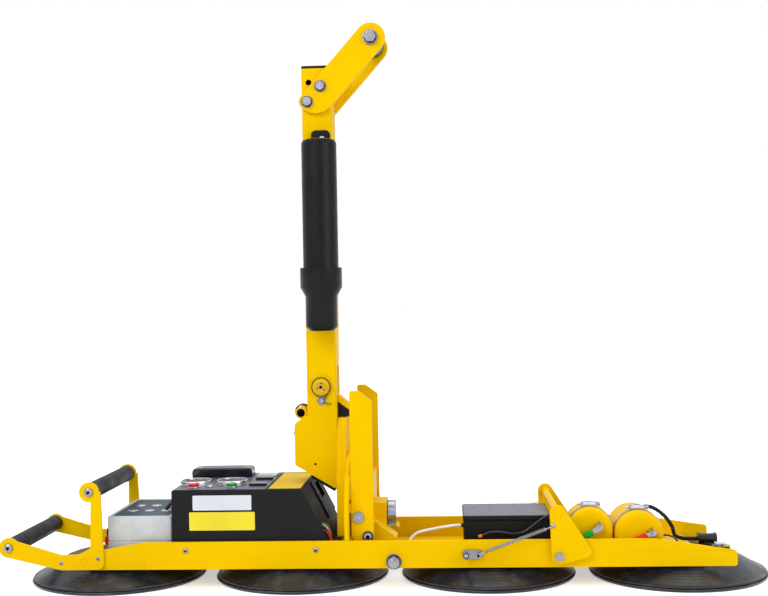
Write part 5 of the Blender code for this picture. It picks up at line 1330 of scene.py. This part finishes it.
def loops():
    """Feed of the battery, and the two thin lines that loop beside the right reservoir."""
    feed_line = [row(-0.4290, -0.0200, 0.1660), row(-0.4380, -0.0210, 0.1655), row(-0.4480, -0.0230, 0.1580),
                 row(-0.4570, -0.0260, 0.1480), row(-0.4640, -0.0280, 0.1385)]
    piece("battery_feed", cord(feed_line, 0.0036), "gloss")
    for name, finish, radius, gap in (("black", "gloss", 0.0019, 0.0), ("white", "cable", 0.0010, 4.0)):
        loop = route(-60.0, (520.0 - gap, 83.0), (536.0 - gap, 85.0 - gap), (551.0 - gap, 80.0 - gap),
                     (557.0 - gap, 70.0), (550.0 - gap, 61.0 + gap), (536.0 - gap, 56.0 + gap))
        piece(f"tank_line_{name}", cord(loop, radius, 8), finish)


class LIFTER_OT_hoses(LifterOperator, bpy.types.Operator):
    """Finish the hose, the cables and the hose valve on the last pad"""

    bl_idname = "lifter.hoses"
    bl_label = "Hose and Cables"

    def build(self, scene):
        refined("vacuum_hose", "plastic")
        refined("pump_cable", "cable")
        glands()
        pad_valve()
        sensor_cable()
        loops()


class LIFTER_OT_fork(LifterOperator, bpy.types.Operator):
    """Paint the fork, its disc and bearing carrier and set the pivot pins"""

    bl_idname = "lifter.fork"
    bl_label = "Fork"

    def build(self, scene):
        for node in ("fork_cheek_front", "fork_cheek_rear", "index_disc", "bearing_block"):
            refined(node, "paint", scene.lifter_sizes.edge)
        x, _, z = joint_place("fork")
        mark = mm((0.0, 0.0), (4.0, 0.0), (3.6, 0.4), (0.0, 0.4))
        head = 0.0078
        for side, outward in SIDES:
            pin = f"pivot_pin_{side}"
            refined(pin, "zinc", 0.0008)
            end = (x, outer_face(pin, outward), z)
            piece(f"pivot_mark_{side}", turned(mark, end, "Y", 32, outward=outward), "steel")
            place = row(-0.0470, outer_face(f"fork_cheek_{side}", outward) + outward * LIFT, 0.0960)
            piece(f"cheek_screw_{side}", socket_screw(place, outward, head, 0.0066), "steel", "fork")
            # dark hexagon in the screw's socket: painted shade
            piece(f"cheek_socket_shade_{side}", socket_hole(place, outward, head, 0.0066), "void", "fork")
            piece(f"cheek_washer_{side}", flat_washer(place, outward, 0.0108), "dark_steel", "fork")
        self.welds()

    def welds(self):
        """Weld beads where the cheeks meet the disc's backing plate."""
        x = high("index_disc").x + 0.0012
        radii = [0.0016 + 0.0003 * math.sin(2.2 * i) for i in range(16)]
        beads = []
        for _, outward in SIDES:
            y = outward * (abs(low("fork_cheek_rear").y) - 0.0006)
            beads.append(swept([Vector((x, y, 0.155 + 0.004 * i)) for i in range(16)], radii, 8))
        piece("fork_welds", merged(beads), "paint", "fork")


# Mast
def bracket_bolts(sizes):
    """Bolts in front and their nuts behind, each over a washer and a dark ring that paints the shadow under it."""
    head, washer = sizes.big_head, sizes.big_washer
    for side, outward in SIDES:
        face = outer_face(f"bracket_{side}", outward) + outward * LIFT
        places = [row(x, face, z) for x, z in ((-0.1575, 0.9580), (-0.1304, 0.9890))]
        if outward < 0:
            bolts = [hex_bolt(place, outward, head, washer) for place in places]
        else:
            bolts = [hex_nut(place, outward, head, washer, 0.0060) for place in places]
        washers = [flat_washer(place, outward, washer) for place in places]
        # dark rings under the heads and nuts: painted shadows
        rings = [painted_shadow_ring(place, outward, head, washer) for place in places]
        parts = (("bolts", bolts, "steel"), ("washers", washers, "zinc"), ("rings", rings, "dark_steel"))
        for name, meshes, finish in parts:
            piece(f"bracket_{name}_{side}", merged(meshes), finish, "mast")


def cross_bolt():
    """Stamps, washers, dark rings and sleeve of the cross bolt that carries the lifter; the dark rings are painted
    shadows on the washers.
    """
    x, _, z = middle("hook_bolt")
    face = high("bracket_rear").y
    stamp = mm((6.0, 0.0), (6.6, 0.0), (6.4, 0.3), (6.2, 0.3))
    washer = [(0.0128, LIFT), (0.0158, LIFT), (0.0158, 0.0026), (0.0152, 0.0033), (0.0128, 0.0033)]
    stamps, washers, rings = [], [], []
    for _, outward in SIDES:
        end = (x, outer_face("hook_bolt", outward), z)
        stamps.append(turned(stamp, end, "Y", 32, True, outward))
        washers.append(turned(washer, (x, outward * face, z), "Y", MIDDLE_STEPS, True, outward))
        # dark ring on each washer: painted shadow
        rings.append(painted_shadow_ring((x, outward * (face + 0.0014), z), outward, 0.0118, 0.0128))
    piece("hook_bolt_stamps", merged(stamps), "steel", "mast")
    piece("hook_washers", merged(washers), "zinc", "mast")
    piece("hook_rings", merged(rings), "dark_steel", "mast")
    reach = low("bracket_rear").y - 0.0008
    piece("hook_sleeve", tube((x, 0.0, z), 0.0214, 0.0223, -reach, reach, "Y"), "dark_steel", "mast")


def lever_hub():
    """Disc face with its dark centre and holes, torsion spring and stop screw of the index lever; the dark centre,
    the holes and the ring under the stop screw are painted shade.
    """
    x, _, z = joint_place("index_lever")
    front, face = low("index_lever").y, low("mast_tube").y
    plate = tube((x, 0.0, z), 0.0030, 0.0118, front - LIFT, front - 0.0012, "Y")
    piece("hub_plate", plate, "brass", "index_lever")
    # dark disc in the plate's centre hole: painted shade
    pin = disc((x, 0.0, z), 0.0031, front - 0.0010, front - 0.0016, "Y", SMALL_STEPS)
    piece("hub_pin", pin, "void", "index_lever")
    # dark discs on the plate's face: painted shade of its three holes
    holes = [disc((x + dx, front - 0.0013, z + dz), 0.0015, 0.0, -0.0002, "Y", 16)
             for dx, dz in bend_points(0.0, 0.0, 0.0078, (80.0, 200.0, 320.0))]
    piece("hub_holes", merged(holes), "void", "index_lever")
    coils = [ring_bead((x, face - 0.0020 - 0.0019 * turn, z), 0.0186, 0.0009, "Y") for turn in range(3)]
    piece("lever_spring", merged(coils), "dark_steel", "mast")
    bends = ((0.0150, 0.0110), (0.0110, 0.0175), (0.0070, 0.0240), (0.0040, 0.0300),
             (0.0090, 0.0328), (0.0205, 0.0335))
    leg = [(x + right, face - 0.0040, z - down) for right, down in bends]
    piece("lever_spring_leg", cord(leg, 0.0010, 8, 0.003), "dark_steel", "mast")
    place, head, washer = row(-0.1400, face - LIFT, 0.3565), 0.0060, 0.0092
    piece("stop_screw", hex_bolt(place, -1.0, head, washer), "steel", "mast")
    piece("stop_washer", flat_washer(place, -1.0, washer), "zinc", "mast")
    # dark ring under the stop screw's head: painted shadow
    piece("stop_ring", painted_shadow_ring(place, -1.0, head, washer), "dark_steel", "mast")


def latch_block():
    """Black block that carries the latch under its painted hood."""
    outline = side_outline((-109.2, 322.7), (-81.2, 322.7), (-81.2, 332.5), (-109.2, 351.5))
    piece("latch_block", extruded(outline, -0.0184, 0.0184, "Y"), "plastic", "index_lever")


def side_outline(*places):
    """Outline in millimetres as seen from the front, with x counted from the middle of the pad row."""
    return [(point.x, point.z) for point in route(0.0, *places)]


def mast_foot():
    """Skins and welds of the foot, dark discs that paint the shade in its hole and in its cross tube's ends, its
    rings, its bolt and the bumper.
    """
    bottom, top = box_of("mast_foot")
    pivot = Vector((bottom.x + 0.0128, 0.0, top.z - 0.0120))
    skin = 0.0003
    edge = ring_bead((pivot.x, bottom.y, pivot.z), 0.0098, 0.0009, "Y")
    piece("foot_tube_edge", edge, "paint", "mast")
    outline = side_outline((-195.7, 227.8), (-116.0, 181.3), (-110.3, 184.7), (-110.3, 346.0), (-169.7, 346.0),
                           (-169.7, 327.0), (-195.7, 310.6))
    for side, outward in SIDES:
        face = outward * abs(bottom.y)
        near, far = sorted((face, face + outward * skin))
        piece(f"foot_skin_{side}", extruded(outline, near, far, "Y"), "paint", "mast")
        weld = ring_bead(row(-0.1740, face + outward * skin, 0.2295), 0.0048, 0.0008, "Y")
        piece(f"foot_weld_{side}", weld, "paint", "mast")
        # dark disc on the foot's face: painted shade of a hole
        hole = disc(row(-0.1548, face + outward * LIFT, 0.2293), 0.0024, 0.0, 0.0004, "Y", SMALL_STEPS, outward)
        piece(f"foot_hole_shade_{side}", hole, "void", "mast")
        # dark disc inside the cross tube's end: painted shade of its bore
        bore = disc((pivot.x, face + outward * LIFT, pivot.z), 0.0084, 0.002, 0.006, "Y", 32, -outward)
        piece(f"cross_bolt_{side}", bore, "void", "mast")
    rings = (("near", "dark_steel", -0.0040), ("mid", "chrome", 0.0), ("far", "dark_steel", 0.0040))
    for name, finish, y in rings:
        arc = [(x, y, z) for x, z in bend_points(pivot.x, pivot.z, 0.0146, range(10, 200, 10))]
        piece(f"cross_ring_{name}", swept(arc, 0.0018, 8), finish, "mast")
    piece("foot_bolt", hex_bolt((bottom.x - LIFT, 0.0, 0.2900), -1.0, 0.0078, 0.0, "X"), "steel", "mast")
    under = side_outline((-164.0, 207.8), (-117.5, 180.2), (-117.5, 172.2), (-164.0, 199.8))
    piece("foot_bumper", extruded(under, -0.030, 0.030, "Y"), "plastic", "mast", edge=0.0008)


class LIFTER_OT_mast(LifterOperator, bpy.types.Operator):
    """Paint the mast, foot, arch, lever and bracket and finish the shaft, cap and cross bolt"""

    bl_idname = "lifter.mast"
    bl_label = "Mast"

    def build(self, scene):
        sizes = scene.lifter_sizes
        for node in ("mast_tube", "mast_foot", "swivel_arch", "bracket_front", "bracket_rear"):
            refined(node, "paint", sizes.edge)
        refined("mast_cap", "plastic", 0.0012)
        refined("swivel_shaft", "steel", 0.0010)
        refined("hook_bolt", "steel", 0.0010)
        refined("index_lever", "paint", 0.0008)
        bracket_bolts(sizes)
        cross_bolt()
        lever_hub()
        latch_block()
        mast_foot()


class LIFTER_OT_document_tube(LifterOperator, bpy.types.Operator):
    """Mould the document tube, its tab and its cap"""

    bl_idname = "lifter.document_tube"
    bl_label = "Document Tube"

    def build(self, scene):
        tube_node, cap = "document_tube", "document_tube_cap"
        refined(tube_node, "tube", 0.0008)
        refined(cap, "tube", 0.0010)
        top, start, face = high(tube_node).z, middle(tube_node).x, low("mast_tube").y
        place = row(-0.1290, face - 0.0083 - LIFT, top - 0.0135)
        piece("tab_screw", dome_screw(place, -1.0, 0.0062, 0.0034), "chrome", "mast")
        back = face - LIFT
        tab = rounded(start - 0.0190, top - 0.0200, start + 0.0190, top + 0.0040, 0.0090)
        piece("tab_head", extruded(tab, back - 0.0078, back, "Y"), "plastic", "mast", edge=0.0006)
        bottom, top = box_of(cap)
        outer = 0.5 * (top.x - bottom.x)
        x, y, _ = middle(cap)
        levels = [top.z - 0.0050 - 0.0070 * index for index in range(4)]
        ribs = [ring_bead((x, y, z), outer - 0.0006, 0.0006, "Z") for z in levels]
        piece("cap_ribs", merged(ribs), "tube", "document_cap")


class LIFTER_PT_panel(bpy.types.Panel):
    """Buttons that dress the lifter"""

    bl_label = "Lifter"
    bl_idname = "LIFTER_PT_panel"
    bl_space_type = "VIEW_3D"
    bl_region_type = "UI"
    bl_category = "Lifter"

    def draw(self, context):
        for operator in OPERATORS:
            self.layout.operator(operator.bl_idname)


OPERATORS = (
    LIFTER_OT_stage,
    LIFTER_OT_pads,
    LIFTER_OT_beam,
    LIFTER_OT_handle,
    LIFTER_OT_battery,
    LIFTER_OT_control_box,
    LIFTER_OT_panel,
    LIFTER_OT_pump_box,
    LIFTER_OT_reservoirs,
    LIFTER_OT_bail,
    LIFTER_OT_hoses,
    LIFTER_OT_fork,
    LIFTER_OT_mast,
    LIFTER_OT_document_tube,
)
CLASSES = (LifterColours, LifterSizes, LifterStudio, *OPERATORS, LIFTER_PT_panel)


def register():
    for made in CLASSES:
        bpy.utils.register_class(made)
    bpy.types.Scene.lifter_colours = PointerProperty(type=LifterColours)
    bpy.types.Scene.lifter_sizes = PointerProperty(type=LifterSizes)
    bpy.types.Scene.lifter_studio = PointerProperty(type=LifterStudio)


def unregister():
    for name in ("lifter_colours", "lifter_sizes", "lifter_studio"):
        delattr(bpy.types.Scene, name)
    for made in reversed(CLASSES):
        bpy.utils.unregister_class(made)


def main():
    register()
    for operator in OPERATORS:
        group, name = operator.bl_idname.split(".")
        getattr(getattr(bpy.ops, group), name)()


if __name__ == "__main__":
    main()
